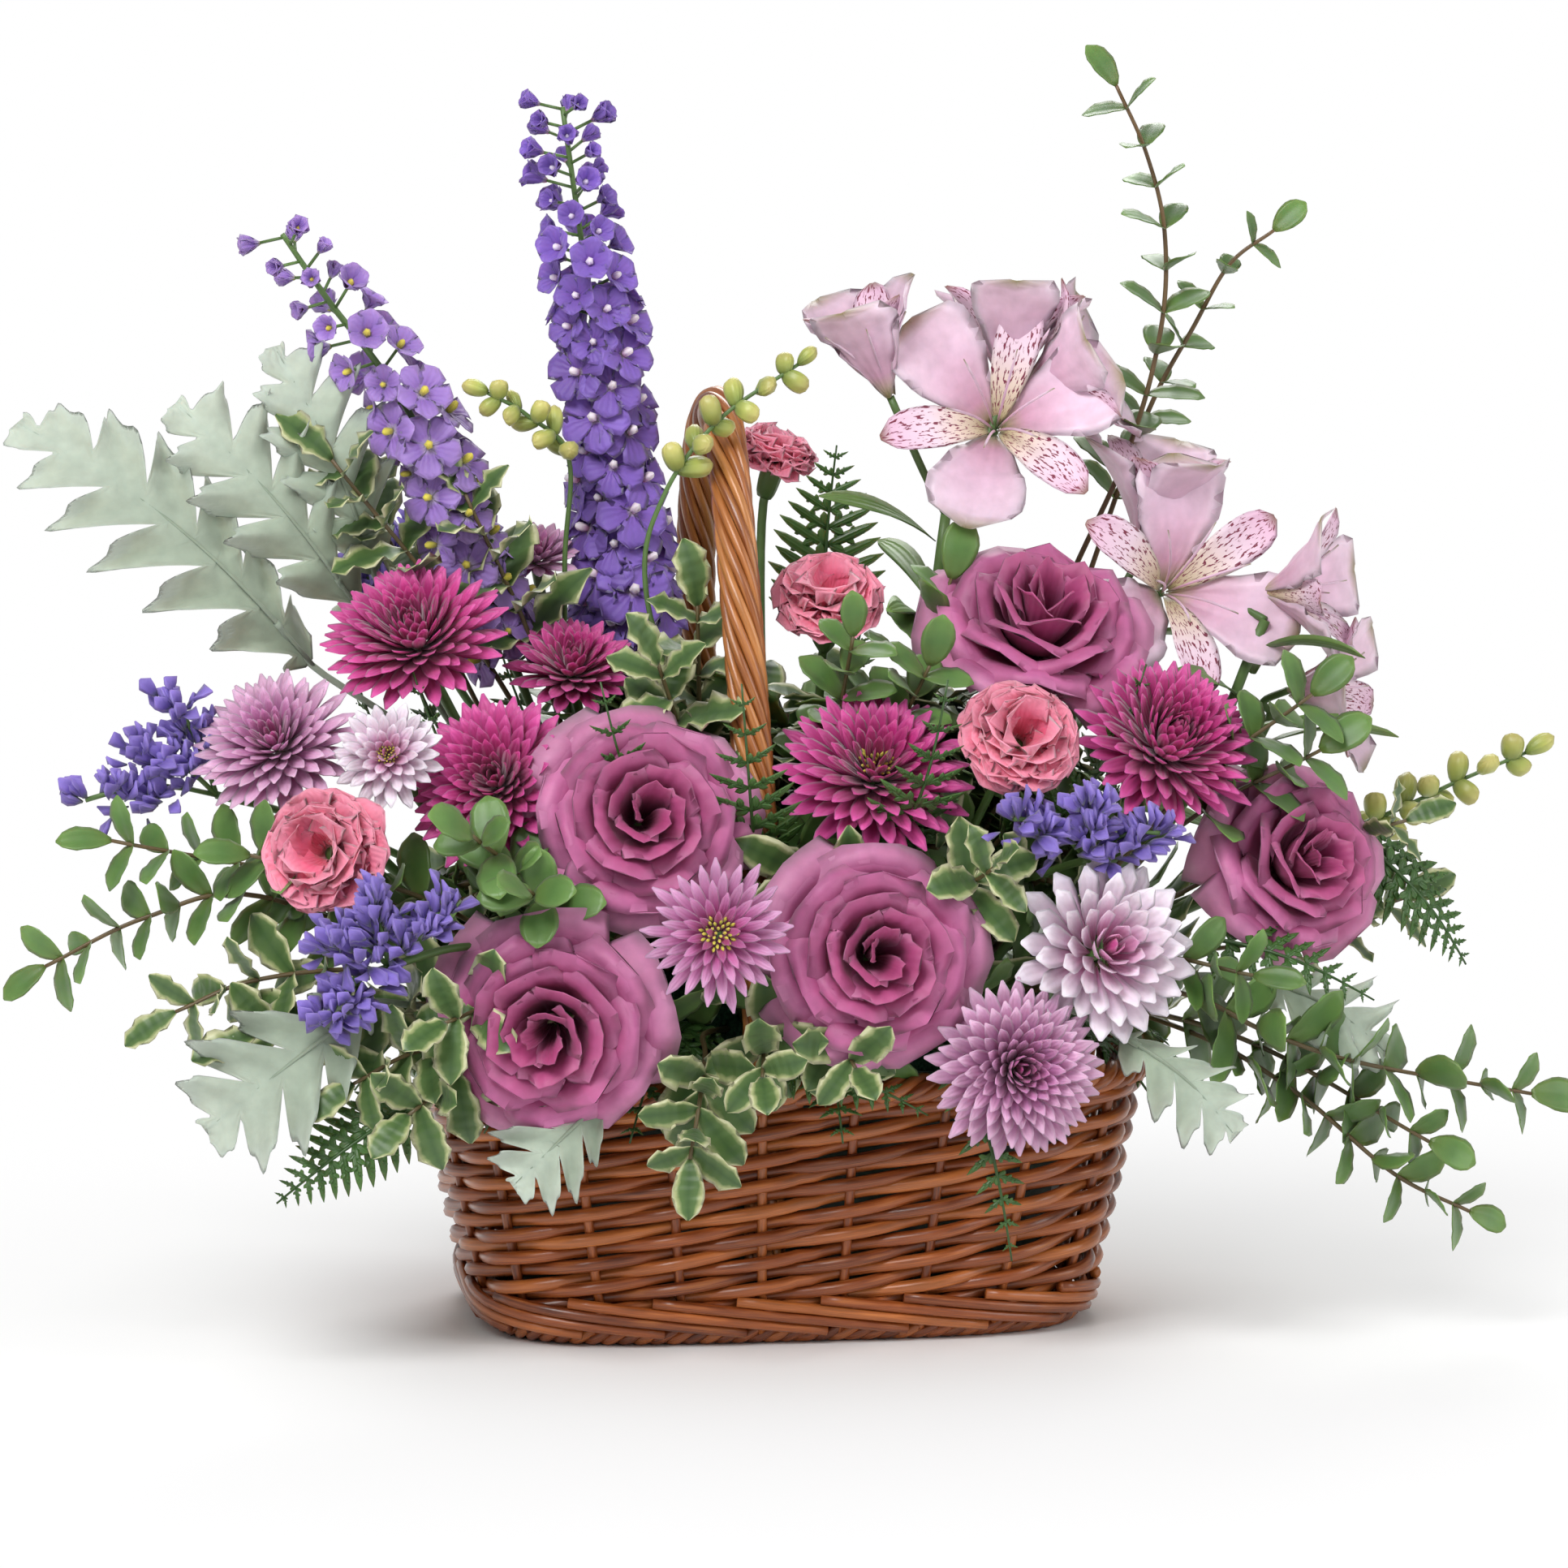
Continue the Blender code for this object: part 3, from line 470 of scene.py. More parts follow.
stem_green = petal_finish("green_stem", ((0.0, (0.1, 0.19, 0.05)), (1.0, (0.16, 0.28, 0.07))),
                          (0.1, 0.2, 0.05), 0.2, 0.45, 0.0)


def head_middle(node, facing, forward):
    """The middle of a turned head: its foremost point, less how far that stands forward."""
    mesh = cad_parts[node].data
    points = np.empty(len(mesh.vertices) * 3)
    mesh.vertices.foreach_get("co", points)
    points = points.reshape(-1, 3)
    facing = unit(np.array(facing, float))
    return points[np.argmax(points @ facing)] - facing * forward


def stem_foot(x, y, z, share=0.38):
    """Where the stem of a flower at x, y, z ends inside the foam: a share of the way out, kept inside it."""
    return (max(-0.072, min(0.058, share * x)), max(-0.034, min(0.034, (share - 0.06) * y)),
            0.106 if z < 0.17 else 0.094)


def stem_up(middle, facing, back, radius):
    """A stem from the foam into the back of a head: a quadratic curve through a point straight behind it."""
    facing = unit(np.array(facing, float))
    top = middle - facing * back
    t = np.linspace(0, 1, 12)[:, None]
    behind = top - facing * 0.018
    route = (1 - t) ** 2 * np.array(stem_foot(*middle)) + 2 * t * (1 - t) * behind + t**2 * top
    return rods(route[None], radius)


def round_head(middle, facing, spin, tilt, base_out, base_up):
    """Where blades stand round a head: their bases, the way each runs, and the way each faces."""
    facing = unit(np.array(facing, float))
    a = unit(np.cross(facing, (0.13, 0.21, 0.97)))
    b = np.cross(facing, a)
    radial = np.cos(spin)[:, None] * a + np.sin(spin)[:, None] * b
    tilt, base_out, base_up = (np.broadcast_to(v, spin.shape)[:, None] for v in (tilt, base_out, base_up))
    base = middle + base_out * radial + base_up * facing
    along = np.cos(tilt) * radial + np.sin(tilt) * facing
    face = np.cos(tilt) * facing - np.sin(tilt) * radial
    return base, along, face


# ---- Roses ----
# Five mauve garden roses, wide open. Broad petals wrap round each other in a spiral, deep magenta down
# inside and paler at the rims, and the outer ones roll back. Green sepals hold them from behind.

rose_petal = petal_finish(
    "mauve_rose_petal",
    ((0.0, (0.17, 0.006, 0.04)), (0.35, (0.36, 0.045, 0.16)), (0.75, (0.5, 0.12, 0.29)),
     (1.0, (0.68, 0.29, 0.48))),
    (0.74, 0.34, 0.54), 0.3, 0.55, 0.08, 22.0,
)
# node, the way it faces, radius of its solid, radius
ROSES = (
    ("rose_front_left", (-0.25, -0.95, -0.05), 0.035, 0.038),
    ("rose_left", (0.0, -0.95, 0.25), 0.034, 0.037),
    ("rose_top", (0.1, -0.65, 0.75), 0.034, 0.038),
    ("rose_front", (0.05, -0.97, 0.15), 0.035, 0.037),
    ("rose_right", (0.35, -0.85, 0.25), 0.031, 0.034),
)


def rose_petals(middle, facing, radius, count, seed, sides=16, rows=11):
    """Wrapped petals. Round the flower's axis, petal k reaches out by the sine of u to a power times its own
    radius, rises to its rim with a power of u and rolls back. Across it, at v from side to side, the angle
    runs to both sides by its span, and the rim dips by a power of v, which leaves a soft point."""
    rng = np.random.default_rng(seed)
    facing = unit(np.array(facing, float))
    a = unit(np.cross(facing, (0.13, 0.21, 0.97)))
    b = np.cross(facing, a)
    k = np.arange(count)
    share = (k / (count - 1))[:, None, None]
    u = np.linspace(0, 1, rows)[None, :, None]
    turn = np.arange(sides) * 2 * math.pi / sides
    v, s = np.cos(turn)[None, None], np.sin(turn)[None, None]
    spin = (k * GOLDEN_TURN + rng.uniform(-0.25, 0.25, count))[:, None, None]
    span = 1.25 - 0.35 * share
    reach = radius * (0.1 + 0.84 * share**0.9)
    swell = np.sin(0.5 * math.pi * u**0.8)
    roll = np.clip((u - 0.72) / 0.28, 0, 1) ** 2
    out = reach * swell + roll * radius * 0.16 * (0.35 + share)
    rise = radius * (-0.45 + (1.02 - 0.62 * share**1.4) * u**1.15)
    rise = rise - roll * radius * (0.05 + 0.12 * share)
    rise = rise - np.abs(v) ** 1.4 * u**2 * radius * (0.2 + 0.2 * share)
    ripple = 0.03 * radius * np.sin(3.5 * v * math.pi + k[:, None, None]) * u**3
    angle = spin + span * v * (0.55 + 0.45 * np.sin(math.pi * (0.15 + 0.72 * u)))
    out = out + 0.0006 * s * np.sqrt(np.sin(math.pi * (0.06 + 0.88 * u))) + ripple * 0.6 - 0.03 * radius * v
    rise = rise + ripple
    radial = np.cos(angle)[..., None] * a + np.sin(angle)[..., None] * b
    grid = middle + out[..., None] * radial + rise[..., None] * facing
    marks = np.zeros(grid.shape)
    marks[..., 0] = u * (0.35 + 0.65 * share)
    marks[..., 1] = v
    marks[..., 2] = (k * 0.618 % 1.0)[:, None, None]
    return grid, marks


for seed, (node, facing, solid_radius, radius) in enumerate(ROSES):
    middle = head_middle(node, facing, 0.6 * solid_radius)
    petals = rose_petals(middle, facing, radius, 27, seed)
    spin = np.arange(5) * 2 * math.pi / 5 + seed
    base, along, face = round_head(middle, facing, spin, 0.1, 0.004, -0.62 * radius)
    sepals = blades(base, along, face, 0.026, 0.008, 0.0008, 0.7, shape=(0.3, 1.5, 0.8))
    cup = blades(middle - unit(np.array(facing)) * radius * 0.75, facing, (0, 0, 1), 0.014, 0.011, 0.011,
                 shape=(0.4, 3.0, 0.4), sides=10)
    stem = stem_up(middle, facing, 0.6 * radius, 0.0026)
    parts = [(petals, rose_petal), (sepals, stem_green), (cup, stem_green), (stem, stem_green)]
    make_piece(node + "_flower", parts, [node])


# ---- Chrysanthemums ----
# Eleven chrysanthemums: narrow rays a golden angle apart, upright round the middle and flat at the rim.
# They are magenta, lavender or white with spoon-shaped rays; some show an eye of tiny yellow florets.

# The magenta rays run from a darker base through their own magenta; the paler tip and edge colours are partly
# painted highlight.
magenta_ray = petal_finish(
    "magenta_ray", ((0.0, (0.22, 0.003, 0.06)), (0.5, (0.46, 0.016, 0.18)), (1.0, (0.68, 0.085, 0.35))),
    (0.66, 0.1, 0.36), 0.3, 0.5, 0.3, 10.0)
lavender_ray = petal_finish(
    "lavender_ray", ((0.0, (0.34, 0.02, 0.16)), (0.45, (0.52, 0.19, 0.41)), (1.0, (0.72, 0.44, 0.62))),
    (0.74, 0.48, 0.66), 0.3, 0.5, 0.3, 10.0)
white_ray = petal_finish(
    "white_ray", ((0.0, (0.44, 0.015, 0.18)), (0.3, (0.62, 0.28, 0.48)), (0.55, (0.76, 0.58, 0.7)),
                  (1.0, (0.84, 0.76, 0.83))),
    (0.84, 0.74, 0.83), 0.3, 0.5, 0.3, 10.0)
spider_ray = petal_finish(
    "spider_ray", ((0.0, (0.3, 0.02, 0.1)), (0.35, (0.42, 0.07, 0.26)), (1.0, (0.64, 0.33, 0.55))),
    (0.66, 0.36, 0.56), 0.3, 0.5, 0.3, 10.0)
eye_yellow = petal_finish(
    "yellow_eye", ((0.0, (0.3, 0.32, 0.03)), (1.0, (0.72, 0.6, 0.08))), (0.7, 0.6, 0.1), 0.2, 0.7)
RAYS = (0.35, 3.0, 0.5)
SPOONS = (0.9, 5.0, 0.5)
# node, the way it faces, radius of its solid, radius, rays, their width, incurve, outline and finish, and
# the radius of its yellow eye
MUMS = (
    ("mum_magenta_top_left", (-0.25, -0.65, 0.7), 0.03, 0.033, 150, 0.0062, 0.7, RAYS, magenta_ray, 0.0),
    ("mum_magenta_half_hidden", (0.0, -0.6, 0.8), 0.019, 0.024, 90, 0.0056, 0.6, RAYS, magenta_ray, 0.0),
    ("mum_magenta_left", (-0.3, -0.85, 0.4), 0.028, 0.032, 140, 0.006, 0.5, RAYS, magenta_ray, 0.0),
    ("mum_magenta_middle", (0.0, -0.75, 0.66), 0.03, 0.035, 120, 0.0064, 0.3, RAYS, magenta_ray, 0.005),
    ("mum_magenta_right", (0.2, -0.75, 0.6), 0.031, 0.034, 170, 0.0062, 1.0, RAYS, magenta_ray, 0.004),
    ("mum_lavender_far_left", (-0.3, -0.75, 0.6), 0.024, 0.029, 120, 0.0054, 0.4, RAYS, lavender_ray, 0.0),
    ("mum_bicolour", (-0.1, -0.9, 0.3), 0.015, 0.02, 56, 0.005, 0.3, RAYS, white_ray, 0.003),
    ("mum_spider", (-0.1, -0.95, 0.2), 0.022, 0.026, 64, 0.0042, -0.2, RAYS, spider_ray, 0.005),
    ("mum_spoon", (0.2, -0.9, 0.3), 0.029, 0.034, 64, 0.0085, 0.5, SPOONS, white_ray, 0.0),
    ("mum_lavender_front", (0.1, -0.97, 0.1), 0.025, 0.031, 150, 0.0058, 0.5, RAYS, lavender_ray, 0.0),
    ("mum_pale_back", (0.0, -0.5, 0.85), 0.014, 0.018, 50, 0.005, 0.5, RAYS, lavender_ray, 0.0),
)


def ray_head(middle, facing, radius, count, width, incurve, outline, seed):
    """Rays a golden angle apart, the square root of their number out. From the rim in to the middle they get
    shorter, stand up and keep more of the colour of their base."""
    rng = np.random.default_rng(seed)
    share = np.sqrt((np.arange(count) + 0.5) / count)
    spin = np.arange(count) * GOLDEN_TURN
    tilt = math.radians(78) * (1 - share) ** 0.75 + rng.uniform(-0.07, 0.07, count)
    base, along, face = round_head(middle, facing, spin, tilt, 0.2 * radius * share, -0.2 * radius * share)
    length = radius * (0.34 + 0.5 * share) * rng.uniform(0.92, 1.06, count)
    grid, marks = blades(base, along, face, length, width * (0.6 + 0.4 * share), 0.0007,
                         incurve * (1.15 - share), 0.16, shape=outline, rows=7, tint=rng.uniform(0, 1, count))
    marks[..., 0] *= np.clip(1.5 * share - 0.1, 0.05, 1.0)[:, None, None]
    return grid, marks


def button(middle, facing, radius, count):
    """A dome of tiny florets at a flower's middle, a golden angle apart and the square root of their number
    out; they lean outwards and sink a little towards the dome's edge."""
    share = np.sqrt((np.arange(count) + 0.5) / count)
    spin = np.arange(count) * GOLDEN_TURN
    out = radius * share
    base, along, face = round_head(middle, facing, spin, 1.5 - 0.9 * share, out, -0.2 * out)
    return blades(base, along, face, radius * 0.5, radius * 0.24, radius * 0.24, rows=4, sides=5)


for seed, row in enumerate(MUMS):
    node, facing, solid_radius, radius, count, width, incurve, outline, finish, eye = row
    middle = head_middle(node, facing, 0.34 * solid_radius)
    parts = [(ray_head(middle, facing, radius, count, width, incurve, outline, seed + 20), finish),
             (stem_up(middle, facing, 0.15 * radius, 0.0018), stem_green)]
    if eye:
        front = middle + unit(np.array(facing)) * radius * 0.16
        parts.append((button(front, facing, eye, 40), eye_yellow))
    make_piece(node + "_flower", parts, [node])


# ---- Carnations ----
# Four miniature coral-pink carnations: thin petals with ruffled edges crowd out of a green tube on top of
# a slim stem.

coral_petal = petal_finish(
    "coral_carnation_petal",
    ((0.0, (0.56, 0.05, 0.09)), (0.6, (0.8, 0.13, 0.25)), (1.0, (0.9, 0.3, 0.42))),
    (0.93, 0.4, 0.5), 0.4, 0.6, 0.4, 26.0)
# node, the way it faces, radius of its solid, radius
CARNATIONS = (
    ("carnation_left", (-0.5, -0.8, 0.2), 0.019, 0.022),
    ("carnation_middle", (0.0, -0.6, 0.8), 0.018, 0.02),
    ("carnation_right", (0.1, -0.85, 0.5), 0.017, 0.021),
    ("carnation_back", (0.25, -0.2, 0.9), 0.013, 0.015),
)
for seed, (node, facing, solid_radius, radius) in enumerate(CARNATIONS):
    rng = np.random.default_rng(seed + 60)
    middle = head_middle(node, facing, 0.46 * solid_radius)
    count = 60
    share = np.sqrt((np.arange(count) + 0.5) / count)
    spin = np.arange(count) * GOLDEN_TURN
    tilt = 1.35 * (1 - share) + 0.1 + rng.uniform(-0.2, 0.2, count)
    base, along, face = round_head(middle, facing, spin, tilt, 0.1 * radius, -0.25 * radius)
    length = radius * rng.uniform(0.78, 1.0, count)
    ruffles = blades(base, along, face, length, radius * 0.75, 0.0006, -0.25, 0.1, 0.5, (0.9, 9.0, 0.5),
                     9, 10, waves=2.6)
    back = middle - unit(np.array(facing, float)) * radius * 1.15
    tube = blades(back, facing, (0, 0, 1), radius * 0.85, radius * 0.55, radius * 0.55,
                  shape=(0.25, 6.0, 0.3), sides=10)
    stem = stem_up(middle, facing, radius, 0.0016)
    parts = [(ruffles, coral_petal), (tube, stem_green), (stem, stem_green)]
    make_piece(node + "_flower", parts, [node])


# ---- Alstroemeria ----
# Pale lilac-pink lily-like flowers on branched stalks: three broad outer petals with greenish tips, and
# three narrow inner ones with a yellow throat and dark dashes, round long fine stamens.

outer_petal = petal_finish(
    "lilac_outer_petal",
    ((0.0, (0.34, 0.34, 0.12)), (0.22, (0.66, 0.36, 0.5)), (0.6, (0.8, 0.54, 0.69)),
     (0.88, (0.82, 0.6, 0.73)), (1.0, (0.26, 0.22, 0.1))),
    (0.88, 0.74, 0.82), 0.5, 0.45, 0.2, 18.0)
inner_petal, nodes, links, shader, split = new_finish("dashed_inner_petal", 0.45, 0.2)
ground = ramp(nodes, links, split.outputs[0],
              ((0.0, (0.46, 0.4, 0.16)), (0.35, (0.8, 0.66, 0.56)), (0.6, (0.84, 0.66, 0.76)),
               (0.9, (0.78, 0.5, 0.66)), (1.0, (0.3, 0.16, 0.12))))
dash_place = nodes.new("ShaderNodeCombineXYZ")
links.new(math_node(nodes, links, "MULTIPLY", split.outputs[0], 12.0), dash_place.inputs[0])
links.new(math_node(nodes, links, "MULTIPLY", split.outputs[1], 7.0), dash_place.inputs[1])
links.new(math_node(nodes, links, "MULTIPLY", split.outputs[2], 20.0), dash_place.inputs[2])
dashes = nodes.new("ShaderNodeTexNoise")
dashes.inputs["Scale"].default_value = 1.3
links.new(dash_place.outputs[0], dashes.inputs["Vector"])
dark = ramp(nodes, links, dashes.outputs["Fac"], ((0.56, (0, 0, 0)), (0.6, (1, 1, 1))))
links.new(mixed(nodes, links, "MIX", dark, ground, (0.2, 0.015, 0.05)), shader.inputs["Base Color"])
bump(nodes, links, shader, dashes.outputs["Fac"], 0.15)
# node, where its stalk forks, and for each flower its throat, the way it faces, its size and how open it is
ALSTROEMERIAS = (
    ("alstroemeria_top", (0.061, 0.0, 0.282), (
        ((0.031, -0.004, 0.352), (-0.33, -0.1, 0.94), 0.03, 0.9),
        ((0.076, -0.026, 0.325), (-0.1, -0.9, 0.4), 0.034, 0.35),
        ((0.087, 0.012, 0.356), (0.1, 0.2, 0.95), 0.03, 0.7),
        ((0.117, 0.0, 0.338), (0.85, -0.2, 0.4), 0.03, 0.6))),
    ("alstroemeria_right", (0.118, 0.0, 0.252), (
        ((0.147, -0.035, 0.264), (0.25, -0.9, 0.3), 0.034, 0.35),
        ((0.137, 0.0, 0.299), (0.15, -0.1, 0.95), 0.032, 0.8))),
    ("alstroemeria_far_right", (0.172, -0.02, 0.245), (
        ((0.198, -0.024, 0.257), (0.9, -0.4, 0.1), 0.028, 0.6),)),
    ("alstroemeria_low_right", (0.182, 0.014, 0.208), (
        ((0.211, -0.004, 0.217), (0.9, -0.4, 0.0), 0.027, 0.6),)),
)


def lily_head(throat, facing, radius, tilt, seed):
    """Six petals in two rings of three, and six stamens, all from one point behind the throat."""
    throat = np.array(throat, float)
    facing = unit(np.array(facing, float))
    spin = np.arange(3) * 2 * math.pi / 3 + seed * 0.7
    length = radius * 1.45
    start = throat - facing * radius * 1.0
    base, along, face = round_head(start, facing, spin, 1.15 * tilt + 0.35, 0.002, 0.0)
    outer = blades(base, along, face, length, radius * 1.05, 0.0008, -0.6, 0.16, 0.1, (0.9, 5.5, 0.55),
                   12, 8)
    base, along, face = round_head(start, facing, spin + math.pi / 3, 1.15 * tilt + 0.45, 0.002, 0.001)
    inner = blades(base, along, face, length * 0.95, radius * 0.48, 0.0007, -0.8, 0.2, 0.05, (0.8, 3.0, 0.6),
                   12, 8)
    spin = np.arange(6) * math.pi / 3 + 0.3
    base, along, face = round_head(start, facing, spin, 1.3, 0.001, 0.001)
    stamens = blades(base, along, face, length * 0.75, 0.001, 0.001, -0.5, shape=(0.1, 8.0, 0.2), rows=7,
                     sides=5)
    return outer, inner, stamens


for seed, (node, fork, florets) in enumerate(ALSTROEMERIAS):
    bend = (fork[0] * 0.8, fork[1] * 0.8, fork[2] * 0.7)
    stalk = rods(smooth_route((stem_foot(*fork), bend, fork), 8)[None], 0.0021, taper=0.9)
    parts = [(stalk, stem_green)]
    for number, (throat, facing, radius, tilt) in enumerate(florets):
        outer, inner, stamens = lily_head(throat, facing, radius, tilt, seed + 2 * number)
        parts += [(outer, outer_petal), (inner, inner_petal), (stamens, outer_petal)]
        tail = np.array(throat) - unit(np.array(facing)) * radius * 1.0
        middle = 0.5 * (tail + np.array(fork)) - unit(np.array(facing)) * 0.006
        parts.append((rods(smooth_route((fork, middle, tail), 5)[None], 0.0014), stem_green))
    spin = np.arange(5) * 2.4 + seed
    down = -0.01 - 0.01 * np.arange(5)
    base, along, face = round_head(np.array(fork), (0.2, -0.1, 1.0), spin, 0.5, 0.002, down)
    leaves = blades(base, along, face, 0.048, 0.01, 0.0007, -0.6, 0.12, shape=(0.6, 1.6, 0.8), rows=10,
                    twist=0.8)
    parts.append((leaves, stem_green))
    make_piece(node + "_flower", parts, [node])


# ---- Larkspur ----
# Two spires, one lavender and one violet. Each is a stem with five-petalled florets on thin stalks all
# round it, small and half closed at the tip and wide open further down.

lavender_petal = petal_finish(
    "lavender_larkspur_petal",
    ((0.0, (0.6, 0.52, 0.66)), (0.3, (0.24, 0.12, 0.46)), (1.0, (0.36, 0.22, 0.58))),
    (0.44, 0.3, 0.64), 0.3, 0.55, 0.25)
violet_petal = petal_finish(
    "violet_larkspur_petal",
    ((0.0, (0.62, 0.56, 0.52)), (0.18, (0.17, 0.075, 0.4)), (1.0, (0.2, 0.11, 0.48))),
    (0.28, 0.17, 0.57), 0.3, 0.55, 0.25)
# node, stem above the basket, length of the spire, size of its widest floret, florets, finish
LARKSPURS = (
    ("larkspur_lavender",
     ((-0.08, 0.006, 0.2), (-0.104, 0.003, 0.26), (-0.128, 0.0, 0.319), (-0.157, 0.0, 0.36),
      (-0.172, 0.0, 0.382)), 0.175, 0.015, 52, lavender_petal),
    ("larkspur_violet",
     ((-0.046, 0.022, 0.2), (-0.051, 0.023, 0.263), (-0.059, 0.024, 0.332), (-0.072, 0.022, 0.425)),
     0.205, 0.0155, 96, violet_petal),
)


def on_route(route, below):
    """Points this far back from a route's tip, measured along it, and the way the route runs there."""
    run = np.concatenate([[0], np.cumsum(np.linalg.norm(np.diff(route, axis=0), axis=1))])
    at = run[-1] - np.asarray(below)
    along = unit(np.gradient(route, axis=0))
    points = np.stack([np.interp(at, run, route[:, i]) for i in range(3)], axis=-1)
    return points, unit(np.stack([np.interp(at, run, along[:, i]) for i in range(3)], axis=-1))


def across_ways(along, spin):
    """Directions square to along: cos and sin of the spin times two directions square to it."""
    side = unit(np.cross(along, (0.31, 0.87, 0.12)))
    return np.cos(spin)[:, None] * side + np.sin(spin)[:, None] * np.cross(along, side)


for seed, (node, stem, reach, widest, count, finish) in enumerate(LARKSPURS):
    rng = np.random.default_rng(seed + 5)
    route = smooth_route((stem_foot(*stem[0], 0.55), *stem), 12)
    share = (np.arange(count) + 0.4) / count
    at, way = on_route(route, reach * share)
    out = unit(across_ways(way, np.arange(count) * GOLDEN_TURN) + 0.35 * way)
    size = widest * (0.58 + 0.42 * share) * rng.uniform(0.8, 1.2, count)
    stalk_ends = at + out * (size * 0.9)[:, None]
    middle = np.repeat(stalk_ends, 5, axis=0)
    facing = np.repeat(unit(out + np.array((0.0, -0.35, 0.1))), 5, axis=0)
    spin = np.tile(np.arange(5) * 2 * math.pi / 5, count) + np.repeat(rng.uniform(0, 6, count), 5)
    ring = across_ways(facing, spin)
    big = np.repeat(size, 5)
    open_share = np.repeat(np.clip(1.6 * share, 0.15, 0.95), 5)[:, None]
    along = unit(ring * open_share + facing * (1.05 - open_share))
    petals = blades(middle, along, facing, big * 0.86, big * 0.76, 0.0005, -0.4, 0.1, 0.16, (0.8, 5.0, 0.5),
                    6, 6, tint=np.repeat(rng.uniform(0, 1, count), 5))
    centres = blades(stalk_ends, out, (0, 0, 1), size * 0.4, size * 0.24, size * 0.24, rows=5, sides=5)
    stalks = rods(np.stack([at, 0.5 * (at + stalk_ends), stalk_ends], axis=1), 0.0006, 5)
    make_piece(node + "_spire", [(rods(route[None], 0.0018, taper=0.5), stem_green), (stalks, stem_green),
                                 (petals, finish), (centres, eye_yellow if seed == 0 else white_ray)],
               [node])


# ---- Statice ----
# Four sprays of blue-violet statice: a stiff stem forks into thin branches, and small papery cups crowd
# along their tops.

statice_cup = petal_finish(
    "statice_cup", ((0.0, (0.1, 0.14, 0.06)), (0.35, (0.12, 0.07, 0.36)), (1.0, (0.24, 0.17, 0.56))),
    (0.34, 0.27, 0.66), 0.4, 0.75, 0.2, 8.0)
# node, stem above the basket, tips of its branches
STATICES = (
    ("statice_left", ((-0.12, -0.016, 0.158), (-0.17, -0.028, 0.182), (-0.199, -0.042, 0.192)),
     ((-0.244, -0.05, 0.192), (-0.226, -0.05, 0.208), (-0.213, -0.048, 0.224))),
    ("statice_low_left", ((-0.07, -0.064, 0.134), (-0.116, -0.098, 0.146), (-0.146, -0.112, 0.142)),
     ((-0.129, -0.118, 0.16), (-0.152, -0.118, 0.163), (-0.166, -0.116, 0.15), (-0.168, -0.115, 0.124))),
    ("statice_right", ((0.06, -0.034, 0.146), (0.084, -0.074, 0.164), (0.094, -0.1, 0.172)),
     ((0.066, -0.112, 0.188), (0.092, -0.11, 0.19), (0.118, -0.104, 0.181))),
    ("statice_back", ((-0.084, 0.05, 0.18), (-0.108, 0.062, 0.22), (-0.124, 0.07, 0.25)),
     ((-0.136, 0.072, 0.266), (-0.12, 0.084, 0.27), (-0.146, 0.06, 0.254))),
)
for seed, (node, stem, tips) in enumerate(STATICES):
    rng = np.random.default_rng(seed + 30)
    route = smooth_route((stem_foot(*stem[0], 0.55), *stem), 8)
    parts = [(rods(route[None], 0.0014), stem_green)]
    fork = np.array(stem[-1])
    tips = np.array(tips)
    t = np.linspace(0, 1, 6)[None, :, None]
    sag = 0.004 * np.sin(math.pi * t) * np.array((0, 0, 1.0))
    branches = fork + (tips - fork)[:, None] * t + sag
    parts.append((rods(branches, 0.0009, 6), stem_green))
    each = 46
    place = rng.uniform(0.25, 1.05, (len(tips), each))
    centre = fork + (tips - fork)[:, None] * place[..., None]
    scatter = rng.normal(0, 0.0042, (len(tips), each, 3)) * np.array((1.0, 0.7, 1.0))
    base = (centre + 0.5 * scatter).reshape(-1, 3)
    along = unit(scatter * 180 + np.array((0, -0.35, 0.75)) + unit(tips - fork)[:, None] * 0.5).reshape(-1, 3)
    length = rng.uniform(0.007, 0.011, len(base))
    cups = blades(base, along, along[:, ::-1], length, 0.0058, 0.002, -0.4, 0.35, 0.3, (0.7, 9.0, 0.5), 5, 6,
                  tint=rng.uniform(0, 1, len(base)))
    parts.append((cups, statice_cup))
    make_piece(node + "_spray", parts, [node])


# ---- Sprays of buds and small leaves ----
# Yellow-green bud sprays, small-leaved eucalyptus, and pittosporum whose dark wavy leaves have cream edges:
# each a thin stem with its leaves or buds in turned pairs and one at the tip.

bud_skin = petal_finish(
    "bud_skin", ((0.0, (0.16, 0.24, 0.05)), (0.5, (0.4, 0.44, 0.1)), (1.0, (0.56, 0.5, 0.16))),
    (0.45, 0.45, 0.14), 0.2, 0.4, 0.1)
gum_leaf = petal_finish(
    "eucalyptus_leaf", ((0.0, (0.1, 0.17, 0.035)), (0.5, (0.075, 0.17, 0.035)), (1.0, (0.13, 0.25, 0.055))),
    (0.19, 0.3, 0.09), 0.3, 0.42, 0.1, 6.0)
gum_stem = petal_finish(
    "red_brown_stem", ((0.0, (0.12, 0.1, 0.04)), (1.0, (0.26, 0.09, 0.04))), (0.2, 0.1, 0.04), 0.2, 0.45, 0.0)
variegated, nodes, links, shader, split = new_finish("variegated_leaf", 0.4, 0.1)
wander = math_node(nodes, links, "MULTIPLY_ADD", noise(nodes, links, 140.0, 3.0), 0.7)
wander.node.inputs[2].default_value = -0.35
edge_mark = math_node(nodes, links, "ADD", math_node(nodes, links, "ABSOLUTE", split.outputs[1]), wander)
leaf_colour = ramp(nodes, links, edge_mark, (
    (0.0, (0.05, 0.11, 0.028)), (0.55, (0.095, 0.17, 0.045)), (0.78, (0.4, 0.44, 0.2)),
    (0.92, (0.66, 0.66, 0.4))))
links.new(leaf_colour, shader.inputs["Base Color"])
